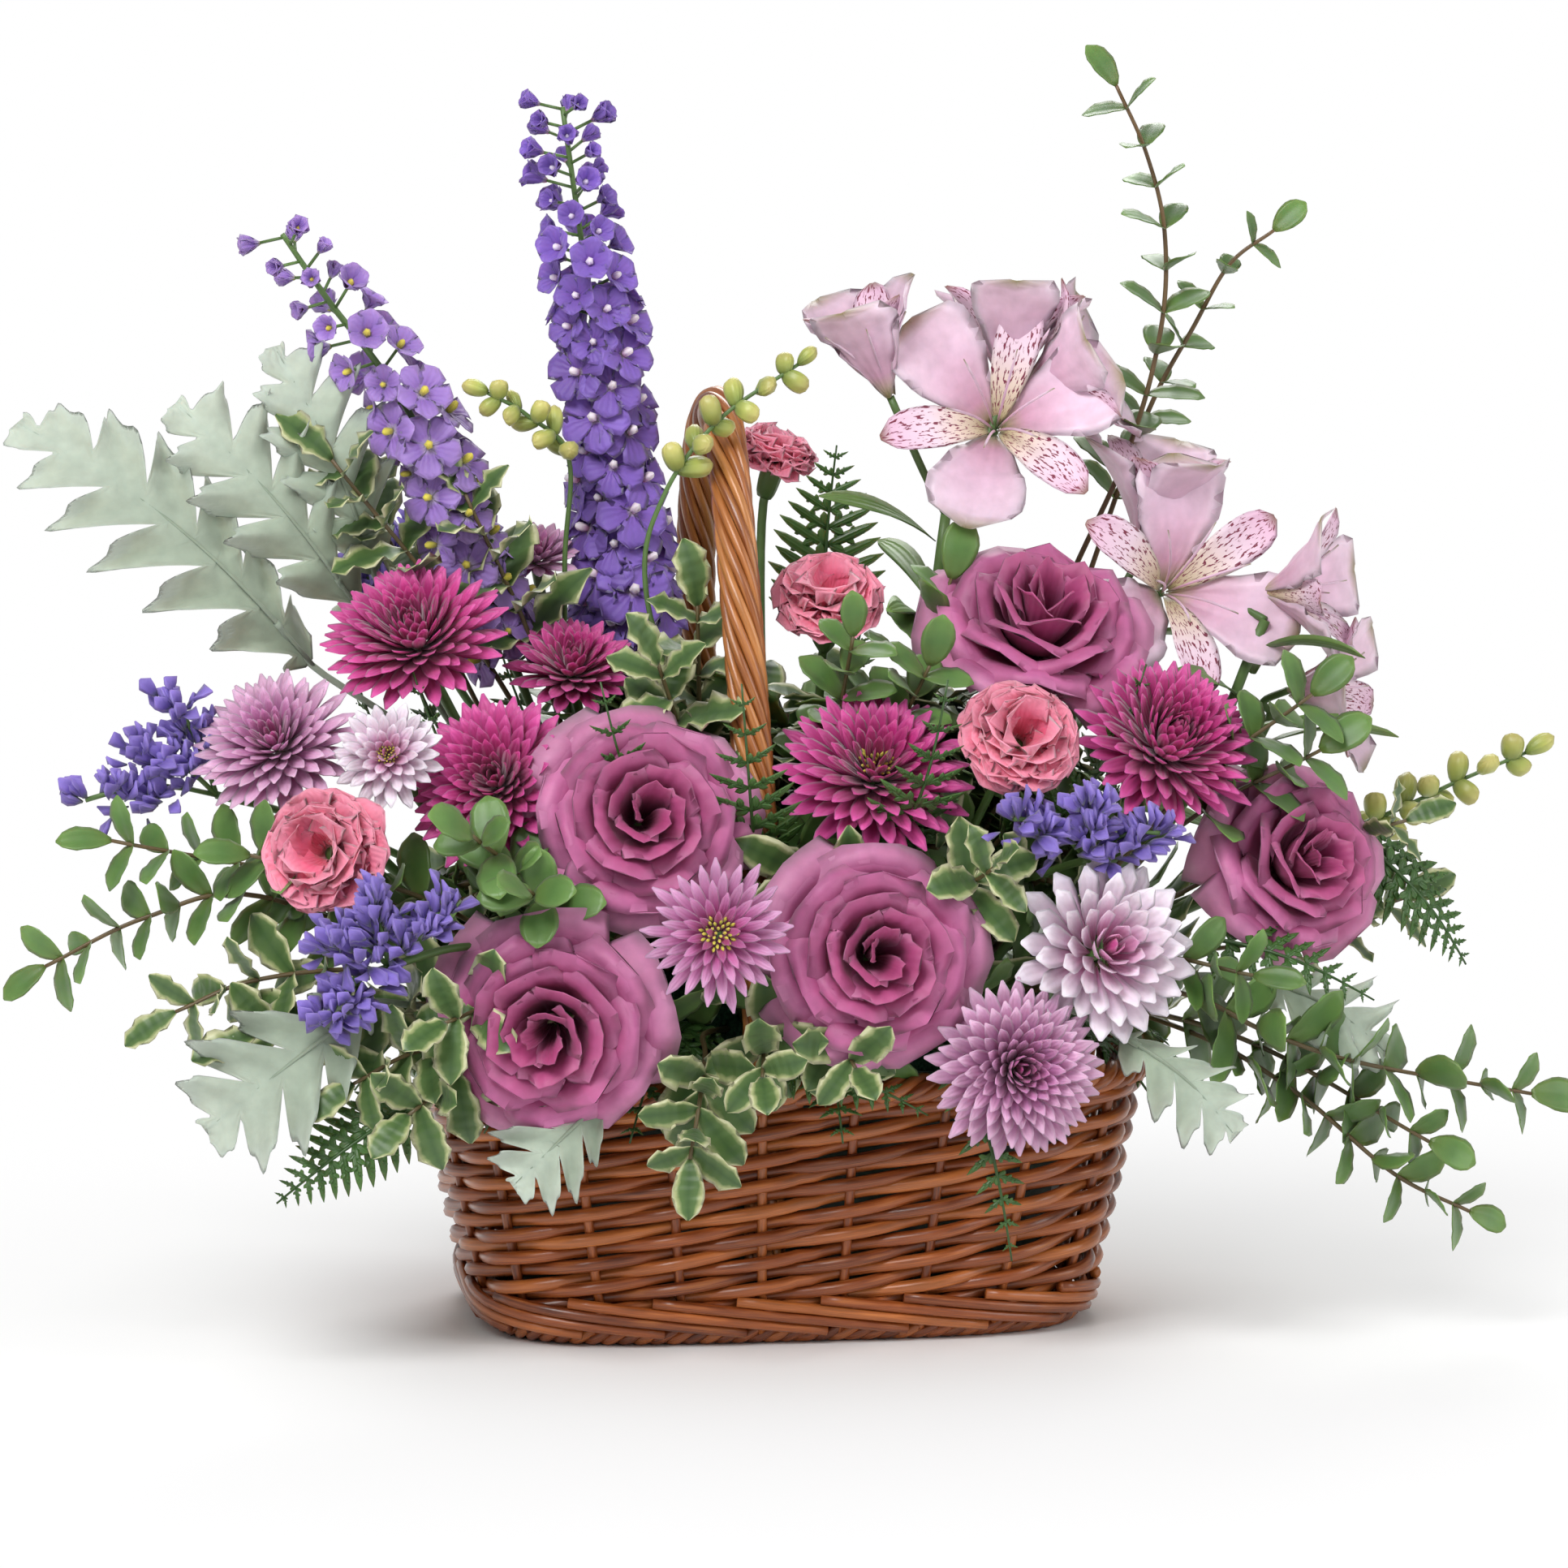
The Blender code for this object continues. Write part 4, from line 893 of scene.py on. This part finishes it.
rib = math_node(nodes, links, "SINE", math_node(nodes, links, "MULTIPLY", split.outputs[0], 40.0))
bump(nodes, links, shader, rib, 0.12)
OVAL = (0.6, 2.4, 0.7)
# slot: thickness (a bud is as thick as wide), bend and ripple of a blade, and the finishes of blade and twig
SPRAY_KINDS = {
    "bud": (None, 0.1, 0.0, bud_skin, stem_green),
    "eucalyptus": (0.0007, 0.3, 0.05, gum_leaf, gum_stem),
    "pittosporum": (0.0008, 0.25, 0.25, variegated, gum_stem),
}
# node, stem above the basket, length and width of a blade, pairs of them, and how far down the stem they go
SPRAYS = (
    ("bud_spray_left", ((-0.07, 0.004, 0.2), (-0.074, 0.002, 0.262), (-0.073, -0.004, 0.303),
                        (-0.088, -0.008, 0.319), (-0.102, -0.01, 0.327)),
     0.012, 0.0068, 5, 0.04, "bud"),
    ("bud_spray_middle", ((-0.036, -0.036, 0.2), (-0.051, -0.044, 0.262), (-0.045, -0.046, 0.293),
                          (-0.026, -0.046, 0.319), (0.002, -0.044, 0.338)),
     0.012, 0.0075, 6, 0.06, "bud"),
    ("bud_spray_right", ((0.126, 0.062, 0.128), (0.218, 0.03, 0.165), (0.252, 0.018, 0.182),
                         (0.276, 0.016, 0.192)),
     0.014, 0.0085, 7, 0.075, "bud"),
    ("eucalyptus_top", ((0.1, 0.026, 0.23), (0.13, 0.024, 0.3), (0.142, 0.022, 0.345),
                        (0.143, 0.021, 0.38), (0.136, 0.02, 0.408), (0.125, 0.02, 0.432)),
     0.022, 0.013, 10, 0.15, "eucalyptus"),
    ("eucalyptus_top_side", ((0.112, 0.046, 0.23), (0.14, 0.044, 0.31), (0.158, 0.04, 0.346),
                             (0.17, 0.036, 0.368), (0.185, 0.032, 0.38)),
     0.018, 0.011, 8, 0.12, "eucalyptus"),
    ("eucalyptus_right", ((0.092, -0.062, 0.124), (0.13, -0.088, 0.123), (0.158, -0.094, 0.11),
                          (0.19, -0.096, 0.099), (0.252, -0.092, 0.086)),
     0.025, 0.0165, 11, 0.13, "eucalyptus"),
    ("eucalyptus_trailing", ((0.1, -0.02, 0.112), (0.138, -0.072, 0.106), (0.172, -0.082, 0.086),
                             (0.205, -0.086, 0.058), (0.232, -0.086, 0.044)),
     0.022, 0.0145, 9, 0.1, "eucalyptus"),
    ("eucalyptus_left", ((-0.114, -0.04, 0.128), (-0.186, -0.066, 0.16), (-0.225, -0.07, 0.154),
                         (-0.259, -0.07, 0.138)),
     0.024, 0.013, 11, 0.12, "eucalyptus"),
    ("pittosporum_left", ((-0.102, -0.06, 0.124), (-0.15, -0.08, 0.136), (-0.19, -0.086, 0.134),
                          (-0.216, -0.086, 0.124)),
     0.027, 0.014, 6, 0.07, "pittosporum"),
    ("pittosporum_rim_left", ((-0.092, -0.07, 0.112), (-0.134, -0.098, 0.111), (-0.158, -0.11, 0.102)),
     0.027, 0.014, 4, 0.036, "pittosporum"),
    ("pittosporum_front", ((-0.036, -0.084, 0.112), (-0.038, -0.102, 0.108), (-0.042, -0.118, 0.094),
                           (-0.046, -0.124, 0.076)),
     0.027, 0.0145, 6, 0.04, "pittosporum"),
    ("pittosporum_back_left", ((-0.096, 0.026, 0.2), (-0.128, 0.02, 0.262), (-0.146, 0.014, 0.294)),
     0.029, 0.015, 6, 0.075, "pittosporum"),
    ("pittosporum_right", ((0.116, -0.008, 0.122), (0.18, -0.012, 0.13), (0.224, -0.014, 0.144)),
     0.027, 0.014, 5, 0.055, "pittosporum"),
)


def paired_leaves(route, length, width, thick, pairs, reach, curve, ripple, seed):
    """Blades in pairs down a stem, each pair turned from the last, leaning forward, and one at the tip."""
    rng = np.random.default_rng(seed)
    share = np.repeat((np.arange(pairs) + 0.6) / pairs, 2)
    at, way = on_route(route, np.append(reach * share, 0.0))
    spin = np.append(np.repeat(np.arange(pairs) * 1.35, 2) + np.tile((0, math.pi), pairs), 0.0)
    spin = spin + rng.uniform(-0.35, 0.35, len(spin))
    out = across_ways(way, spin)
    lean = np.append(rng.uniform(0.35, 0.8, 2 * pairs), 8.0)[:, None]
    along = unit(out + lean * way)
    face = unit(way + np.array((0, -0.6, 0.5)) + 1e-3)
    size = np.append(0.7 + 0.35 * share, 0.8) * rng.uniform(0.85, 1.1, len(spin))
    return blades(at, along, face, length * size, width * size, thick, -curve, 0.1, ripple, OVAL, 9, 8,
                  tint=rng.uniform(0, 1, len(spin)))


for seed, (node, stem, length, width, pairs, reach, slot) in enumerate(SPRAYS):
    thick, bend, ripple, finish, twig = SPRAY_KINDS[slot]
    route = smooth_route((stem_foot(*stem[0], 0.55), *stem), 10)
    leaves = paired_leaves(route, length, width, thick or width, pairs, reach, bend, ripple, seed + 80)
    parts = [(rods(route[None], 0.0011, taper=0.6), twig), (leaves, finish)]
    make_piece(node + "_sprig", parts, [node])


# ---- Dusty miller and fern ----
# Dusty miller: deeply lobed leaves under a silver felt. Leatherleaf fern: glossy dark fronds, each a rib
# with toothed leaflets in two rows that shorten towards the tip.

silver_felt = petal_finish(
    "silver_felt", ((0.0, (0.26, 0.33, 0.23)), (0.6, (0.38, 0.45, 0.36)), (1.0, (0.5, 0.57, 0.48))),
    (0.6, 0.66, 0.58), 0.4, 0.9, 0.3, 16.0, 0.25)
fern_green = petal_finish("fern_leaflet", ((0.0, (0.035, 0.095, 0.018)), (1.0, (0.06, 0.15, 0.03))),
                          (0.07, 0.17, 0.035), 0.3, 0.35, 0.0, 10.0)


def lobed_leaf(start, end, facing, width, lobes, seed, sag=0.12):
    """One closed leaf. A point at u up the arched rib and k across it lies k times the half width away, on a
    line that leans forward. The half width is a sine arch times the power of a rectified sine with a finer
    wave on it, which gives the lobes and their teeth; the two sides are half a lobe apart."""
    start, end = np.array(start, float), np.array(end, float)
    length = np.linalg.norm(end - start)
    way = (end - start) / length
    facing = unit(np.array(facing, float))
    facing = unit(facing - facing @ way * way)
    side = np.cross(way, facing)
    u = np.linspace(0.0, 1.0, 18 * lobes)[:, None]
    turn = np.arange(14) * 2 * math.pi / 14
    k, s = np.cos(turn)[None], np.sin(turn)[None]
    beat = lobes * u + 0.25 + 0.5 * (k < 0)
    arch = np.sin(math.pi * (0.1 + 0.86 * u)) ** 0.8
    lobe = np.abs(np.sin(math.pi * beat)) ** 0.7 * (1 - 0.1 * np.cos(6 * math.pi * beat))
    half = 0.5 * width * arch * (0.16 + 0.84 * lobe)
    across = half * k
    curl = 0.35 * np.abs(across) * np.abs(k) * np.cos(2 * math.pi * beat + seed)
    lift = sag * length * np.sin(math.pi * u) + curl
    thick = 0.0005 * s * (1.2 - np.abs(k))
    ahead = u * length + 0.75 * np.abs(across)
    grid = start + ahead[..., None] * way + across[..., None] * side + (lift + thick)[..., None] * facing
    marks = np.stack(np.broadcast_arrays(u, k, 0.3 + 0.5 * (seed % 3) / 3), axis=-1)
    t = np.linspace(0, 1, 14)[:, None]
    rib = start + way * t * length + facing * (sag * length * np.sin(math.pi * t) + 0.0004)
    return (grid[None], marks[None]), rods(rib[None], 0.0009, 6, 0.4), rib


def fern_frond(start, end, facing, width, leaflets, seed, sag=0.1):
    """An arched rib with pairs of leaflets. At u up the rib a leaflet reaches out by (1.05 - u)^0.7 under a
    sine arch, and six small teeth stand along it on alternate sides, shorter towards its tip."""
    rng = np.random.default_rng(seed)
    start, end = np.array(start, float), np.array(end, float)
    length = np.linalg.norm(end - start)
    way = (end - start) / length
    facing = unit(np.array(facing, float))
    facing = unit(facing - facing @ way * way)
    side = np.cross(way, facing)
    u = np.repeat((np.arange(leaflets) + 0.3) / leaflets, 2)
    hand = np.tile((-1.0, 1.0), leaflets)
    at = start + way * (u * length)[:, None] + facing * (sag * length * np.sin(math.pi * u))[:, None]
    reach = 0.5 * width * (1.05 - u) ** 0.7 * (0.75 + 0.25 * np.sin(math.pi * u))
    along = unit(side * hand[:, None] + way * 0.55 + facing * rng.uniform(-0.15, 0.2, len(u))[:, None])
    ribs = blades(at, along, facing, reach * 1.15, reach * 0.22, 0.0007, -0.3, 0.1, shape=(0.3, 2.0, 0.7),
                  rows=6)
    steps = (np.arange(6) + 0.4) / 6
    knots = (at[:, None] + along[:, None] * (reach[:, None] * steps)[..., None]).reshape(-1, 3)
    ways = np.repeat(along, 6, axis=0)
    flip = np.tile((-1.0, 1.0), len(knots) // 2)[:, None]
    tooth_way = unit(ways * 0.8 + flip * np.cross(ways, facing))
    size = (reach[:, None] * 0.34 * (1.1 - steps)).reshape(-1)
    teeth = blades(knots, tooth_way, facing, size, size * 0.6, 0.0006, -0.2, 0.1, shape=(0.3, 3.0, 0.6),
                   rows=5)
    t = np.linspace(0, 1, 14)
    rib = start + way * (t * length)[:, None] + facing * (sag * length * np.sin(math.pi * t))[:, None]
    return ribs, teeth, rods(rib[None], 0.0009, 6, 0.4)


# node, stalk, tip, width, lobes, the way it faces
LOBED = (
    ("dusty_miller_left", ((-0.112, 0.0, 0.19), (-0.163, -0.004, 0.232)), (-0.262, 0.0, 0.316), 0.056, 6,
     (0.3, -0.9, 0.4)),
    ("dusty_miller_right", ((0.084, -0.074, 0.118), (0.104, -0.106, 0.112)), (0.14, -0.122, 0.08), 0.036, 4,
     (0.2, -0.8, 0.5)),
    ("dusty_miller_far_right", ((0.12, -0.06, 0.124), (0.157, -0.074, 0.126)), (0.202, -0.08, 0.1),
     0.038, 4, (0.2, -0.7, 0.6)),
)
# node, stalk, tip, width, the way it faces
FRONDS = (
    ("fern_left", ((-0.108, -0.076, 0.104), (-0.14, -0.104, 0.092)), (-0.184, -0.11, 0.062), 0.04,
     (-0.2, -0.9, 0.3)),
    ("fern_right", ((0.124, -0.026, 0.14), (0.204, -0.028, 0.168)), (0.244, -0.028, 0.122), 0.044,
     (0.3, -0.8, 0.4)),
    ("fern_back", ((0.02, 0.07, 0.17), (0.03, 0.086, 0.23)), (0.036, 0.094, 0.3), 0.054,
     (0.0, 0.95, 0.3)),
)
for seed, (node, stalk, end, width, lobes, facing) in enumerate(LOBED):
    blade, rib, line = lobed_leaf(stalk[-1], end, facing, width, lobes, seed)
    route = smooth_route((stem_foot(*stalk[0], 0.55), *stalk, tuple(line[2])), 8)
    parts = [(batch, silver_felt) for batch in (blade, rib, rods(route[None], 0.0012))]
    make_piece(node + "_leaf", parts, [node])
for seed, (node, stalk, end, width, facing) in enumerate(FRONDS):
    ribs, teeth, rib = fern_frond(stalk[-1], end, facing, width, 11, seed + 11)
    route = smooth_route((stem_foot(*stalk[0], 0.55), *stalk), 8)
    parts = [(batch, fern_green) for batch in (ribs, teeth, rib)]
    parts.append((rods(route[None], 0.0011), stem_green))
    make_piece(node + "_frond", parts, [node])


# ---- More leaves and sprigs ----
# Foliage without a solid of its own: two silver leaves beside the tall one, two low ones, three fern tips
# and short sprigs of eucalyptus and pittosporum, all pushed in between the flowers.

# stalk, tip, width, lobes
silver_parts = []
for seed, (stalk, end, width, lobes) in enumerate((
    (((-0.108, 0.004, 0.2), (-0.146, 0.004, 0.25)), (-0.208, 0.002, 0.322), 0.05, 5),
    (((-0.108, 0.01, 0.2), (-0.14, 0.01, 0.262)), (-0.174, 0.006, 0.341), 0.044, 5),
    (((-0.11, -0.074, 0.118), (-0.15, -0.098, 0.128)), (-0.206, -0.108, 0.088), 0.052, 4),
    (((-0.058, -0.094, 0.108), (-0.072, -0.108, 0.096)), (-0.104, -0.116, 0.068), 0.036, 4),
)):
    blade, rib, line = lobed_leaf(stalk[-1], end, (0.1, -0.9, 0.35), width, lobes, 40 + seed)
    route = smooth_route((stem_foot(*stalk[0], 0.55), *stalk, tuple(line[2])), 8)
    silver_parts += [(batch, silver_felt) for batch in (blade, rib, rods(route[None], 0.0012))]
make_piece("more_silver_leaves", silver_parts, [])
# base, tip, width, the way it faces
tips = []
for seed, (begin, stop, width, facing) in enumerate((
    ((0.052, -0.096, 0.104), (0.066, -0.112, 0.036), 0.03, (0.1, -0.95, 0.2)),
    ((-0.01, -0.098, 0.104), (0.036, -0.118, 0.088), 0.03, (0.1, -0.8, 0.6)),
    ((0.14, -0.07, 0.14), (0.196, -0.092, 0.12), 0.036, (0.1, -0.8, 0.6)),
)):
    tips += [(batch, fern_green) for batch in fern_frond(begin, stop, facing, width, 9, 50 + seed)]
make_piece("more_fern_tips", tips, [])

# foot, tip, length and width of a leaf, pairs of them, how far down they go, finish
SPRIGS = (
    ((-0.07, -0.05, 0.12), (-0.19, -0.08, 0.176), 0.026, 0.015, 7, 0.08, gum_leaf),
    ((-0.07, -0.05, 0.12), (-0.236, -0.066, 0.18), 0.024, 0.013, 9, 0.11, gum_leaf),
    ((-0.07, -0.06, 0.12), (-0.118, -0.116, 0.186), 0.024, 0.016, 5, 0.05, gum_leaf),
    ((-0.07, -0.06, 0.12), (-0.1, -0.122, 0.168), 0.024, 0.016, 4, 0.04, gum_leaf),
    ((0.01, -0.04, 0.15), (0.018, -0.066, 0.246), 0.024, 0.015, 6, 0.055, gum_leaf),
    ((0.02, -0.04, 0.15), (0.044, -0.07, 0.236), 0.024, 0.015, 6, 0.05, gum_leaf),
    ((0.02, -0.04, 0.15), (0.058, -0.03, 0.262), 0.026, 0.016, 6, 0.06, gum_leaf),
    ((0.09, -0.04, 0.13), (0.178, -0.07, 0.224), 0.026, 0.016, 6, 0.06, gum_leaf),
    ((0.09, -0.04, 0.13), (0.182, -0.066, 0.204), 0.026, 0.016, 5, 0.05, gum_leaf),
    ((0.09, -0.06, 0.12), (0.216, -0.092, 0.07), 0.024, 0.016, 8, 0.1, gum_leaf),
    ((0.08, -0.06, 0.12), (0.15, -0.108, 0.132), 0.024, 0.012, 6, 0.06, gum_leaf),
    ((-0.07, -0.06, 0.11), (-0.128, -0.122, 0.124), 0.029, 0.016, 5, 0.05, variegated),
    ((-0.07, -0.06, 0.11), (-0.19, -0.1, 0.118), 0.029, 0.016, 6, 0.075, variegated),
    ((-0.07, -0.06, 0.11), (-0.14, -0.116, 0.092), 0.028, 0.016, 5, 0.05, variegated),
    ((-0.01, -0.06, 0.112), (-0.022, -0.128, 0.104), 0.028, 0.015, 4, 0.035, variegated),
    ((0.0, -0.06, 0.112), (0.01, -0.126, 0.106), 0.028, 0.015, 4, 0.035, variegated),
    ((-0.03, -0.04, 0.16), (-0.05, -0.072, 0.238), 0.03, 0.017, 5, 0.05, variegated),
    ((-0.03, -0.03, 0.16), (-0.034, -0.052, 0.256), 0.03, 0.017, 5, 0.05, variegated),
    ((-0.06, 0.0, 0.16), (-0.11, -0.01, 0.292), 0.03, 0.017, 6, 0.06, variegated),
    ((-0.06, 0.0, 0.16), (-0.156, -0.006, 0.304), 0.03, 0.017, 7, 0.08, variegated),
    ((0.04, -0.06, 0.12), (0.058, -0.118, 0.172), 0.028, 0.015, 4, 0.035, variegated),
    ((0.09, -0.03, 0.12), (0.218, -0.044, 0.176), 0.026, 0.013, 6, 0.06, variegated),
    ((-0.08, 0.03, 0.118), (-0.088, 0.082, 0.112), 0.028, 0.016, 6, 0.05, variegated),
    ((-0.05, 0.03, 0.118), (-0.054, 0.086, 0.116), 0.026, 0.017, 6, 0.05, gum_leaf),
    ((-0.02, 0.03, 0.118), (-0.018, 0.084, 0.11), 0.028, 0.016, 6, 0.05, variegated),
    ((0.01, 0.03, 0.118), (0.016, 0.086, 0.118), 0.026, 0.017, 6, 0.05, gum_leaf),
    ((0.035, 0.03, 0.118), (0.046, 0.084, 0.112), 0.028, 0.016, 6, 0.05, variegated),
    ((0.055, 0.03, 0.118), (0.078, 0.084, 0.118), 0.026, 0.017, 6, 0.05, gum_leaf),
    ((0.05, 0.03, 0.13), (0.064, 0.078, 0.158), 0.026, 0.017, 6, 0.05, gum_leaf),
    ((0.0, 0.03, 0.13), (0.004, 0.08, 0.16), 0.026, 0.017, 6, 0.05, gum_leaf),
    ((-0.06, 0.03, 0.13), (-0.066, 0.076, 0.162), 0.028, 0.016, 6, 0.05, variegated),
)
leafy, twigs = [], []
for seed, (foot_end, tip, length, width, pairs, reach, finish) in enumerate(SPRIGS):
    foot_end, tip = np.array(foot_end), np.array(tip)
    route = smooth_route((foot_end, 0.5 * (foot_end + tip) + (0, 0, 0.01), tip), 10)
    ripple = 0.3 if finish is variegated else 0.06
    leaves = paired_leaves(route, length, width, 0.0008, pairs, reach, 0.3, ripple, 500 + seed)
    leafy.append((leaves, finish))
    leafy.append((rods(route[None], 0.0011, taper=0.6), gum_stem))
make_piece("more_sprigs", leafy, [])


# ---- Filling foliage ----
# Short leafy twigs and fern tips pushed into the foam all round, front, back and top, between the
# flowers, until they hide the foam and the rim.

rng = np.random.default_rng(404)
FILL = 190
turn = rng.uniform(0, 2 * math.pi, FILL)
rise = rng.uniform(0.02, 1.0, FILL)
around = np.stack([np.cos(turn), np.sin(turn)], axis=-1)
start = np.stack([0.07 * around[:, 0], 0.04 * around[:, 1], np.full(FILL, 0.118)], axis=-1)
end = np.stack([
    around[:, 0] * (0.135 * np.cos(1.2 * rise)) + 0.005,
    np.minimum(around[:, 1] * (0.096 * np.cos(1.2 * rise) ** 2) - 0.004, 0.07),
    0.104 + 0.112 * np.sin(1.45 * rise) - 0.012 * (rise < 0.2),
], axis=-1)
t = np.linspace(0, 1, 8)[None, :, None]
arch = np.array((0, 0, 0.018)) * np.sin(math.pi * t)
twigs = start[:, None] + (end - start)[:, None] * t + arch
way = unit(twigs[:, -1] - twigs[:, -3])
each = 6
place = np.tile(np.linspace(0.0, 0.03, each), FILL)
base = np.repeat(twigs[:, -1], each, axis=0) - np.repeat(way, each, axis=0) * place[:, None]
spin = np.tile(np.arange(each) * 2.4, FILL) + np.repeat(rng.uniform(0, 6, FILL), each)
ways = np.repeat(way, each, axis=0)
along = unit(across_ways(ways, spin) + 0.6 * ways)
length = rng.uniform(0.02, 0.034, FILL * each)
fill_leaves = blades(base, along, ways, length, length * 0.42, 0.0007, -0.5, 0.1, 0.12, OVAL, 8, 8,
                     tint=rng.uniform(0, 1, FILL * each))
picks = np.arange(FILL * each) % 3 == 0
leaf_part = (fill_leaves[0][~picks], fill_leaves[1][~picks])
cream_part = (fill_leaves[0][picks], fill_leaves[1][picks])
parts = [(leaf_part, gum_leaf), (cream_part, variegated), (rods(twigs, 0.001, 6), gum_stem)]
make_piece("filling_leaves", parts, [])

FERNS = 26
turn = np.arange(FERNS) * 2 * math.pi / FERNS + rng.uniform(-0.1, 0.1, FERNS)
low = np.arange(FERNS) % 2 == 0
parts = []
for i in range(FERNS):
    c, s = math.cos(turn[i]), math.sin(turn[i])
    begin = (0.085 * c, 0.062 * s, 0.112 if low[i] else 0.165)
    stop = (0.15 * c, min(0.112 * s, 0.086), 0.078 if low[i] else 0.235)
    parts += [(batch, fern_green) for batch in fern_frond(begin, stop, (c, s, 0.7), 0.046, 9, 300 + i, 0.16)]
make_piece("filling_ferns", parts, [])


# ---- Floor, light and camera ----
# A plain white floor that keeps the basket's soft shadow, even studio light, and a long lens.

floor_mesh = bpy.data.meshes.new("floor")
floor_mesh.from_pydata([(-6, -6, 0), (6, -6, 0), (6, 6, 0), (-6, 6, 0)], [], [(0, 1, 2, 3)])
floor = bpy.data.objects.new("floor", floor_mesh)
bpy.context.scene.collection.objects.link(floor)
white_floor = bpy.data.materials.new("white_floor")
white_floor.use_nodes = True
nodes, links = white_floor.node_tree.nodes, white_floor.node_tree.links
shader = nodes["Principled BSDF"]
shader.inputs["Base Color"].default_value = (0.9, 0.9, 0.9, 1)
shader.inputs["Roughness"].default_value = 0.9
shader.inputs["Specular IOR Level"].default_value = 0.0
rays = nodes.new("ShaderNodeLightPath")
glow = nodes.new("ShaderNodeEmission")
glow.inputs["Strength"].default_value = 1.0
place = nodes.new("ShaderNodeTexCoord")
reach = nodes.new("ShaderNodeVectorMath")
reach.operation = "LENGTH"
links.new(place.outputs["Object"], reach.inputs[0])
far = math_node(nodes, links, "MULTIPLY_ADD", reach.outputs["Value"], 2.6, True)
far.node.inputs[2].default_value = -0.3
seen = math_node(nodes, links, "MULTIPLY", rays.outputs["Is Camera Ray"], far)
blend = nodes.new("ShaderNodeMixShader")
links.new(seen, blend.inputs[0])
links.new(shader.outputs[0], blend.inputs[1])
links.new(glow.outputs[0], blend.inputs[2])
links.new(blend.outputs[0], nodes["Material Output"].inputs["Surface"])
floor_mesh.materials.append(white_floor)

world = bpy.data.worlds.new("studio")
bpy.context.scene.world = world
world.use_nodes = True
nodes, links = world.node_tree.nodes, world.node_tree.links
sky = nodes["Background"]
sky.inputs["Color"].default_value = (1, 1, 1, 1)
rays = nodes.new("ShaderNodeLightPath")
level = math_node(nodes, links, "MULTIPLY_ADD", rays.outputs["Is Camera Ray"], 0.58)
level.node.inputs[2].default_value = 0.42
links.new(level, sky.inputs["Strength"])


def soft_light(name, place, target, size, power):
    """A square soft box that points at a place."""
    data = bpy.data.lights.new(name, "AREA")
    data.size = size
    data.energy = power
    made = bpy.data.objects.new(name, data)
    bpy.context.scene.collection.objects.link(made)
    made.location = place
    way = np.array(place) - np.array(target)
    turn_z = math.atan2(way[1], way[0]) + math.pi / 2
    turn_x = math.atan2(math.hypot(way[0], way[1]), way[2])
    made.rotation_euler = (turn_x, 0, turn_z)


soft_light("key", (-0.9, -1.4, 1.7), (0, 0, 0.2), 1.0, 36)
soft_light("fill", (1.5, -1.0, 1.0), (0, 0, 0.2), 1.0, 11)
soft_light("back", (0.3, 1.6, 1.4), (0, 0, 0.25), 1.0, 18)

AZIMUTH, ELEVATION, DISTANCE = math.radians(-8), math.radians(7), 2.4
AIM = np.array((0.007, 0.026, 0.184))
VIEW_WIDTH = 0.56
SENSOR = 36.0
camera_data = bpy.data.cameras.new("camera")
camera_data.sensor_width = SENSOR
camera_data.lens = SENSOR * DISTANCE / VIEW_WIDTH
camera = bpy.data.objects.new("camera", camera_data)
bpy.context.scene.collection.objects.link(camera)
away = np.array((math.sin(AZIMUTH) * math.cos(ELEVATION), -math.cos(AZIMUTH) * math.cos(ELEVATION),
                 math.sin(ELEVATION)))
camera.location = AIM + DISTANCE * away
camera.rotation_euler = (math.pi / 2 - ELEVATION, 0, AZIMUTH)
bpy.context.scene.camera = camera
bpy.context.scene.view_settings.view_transform = "Standard"
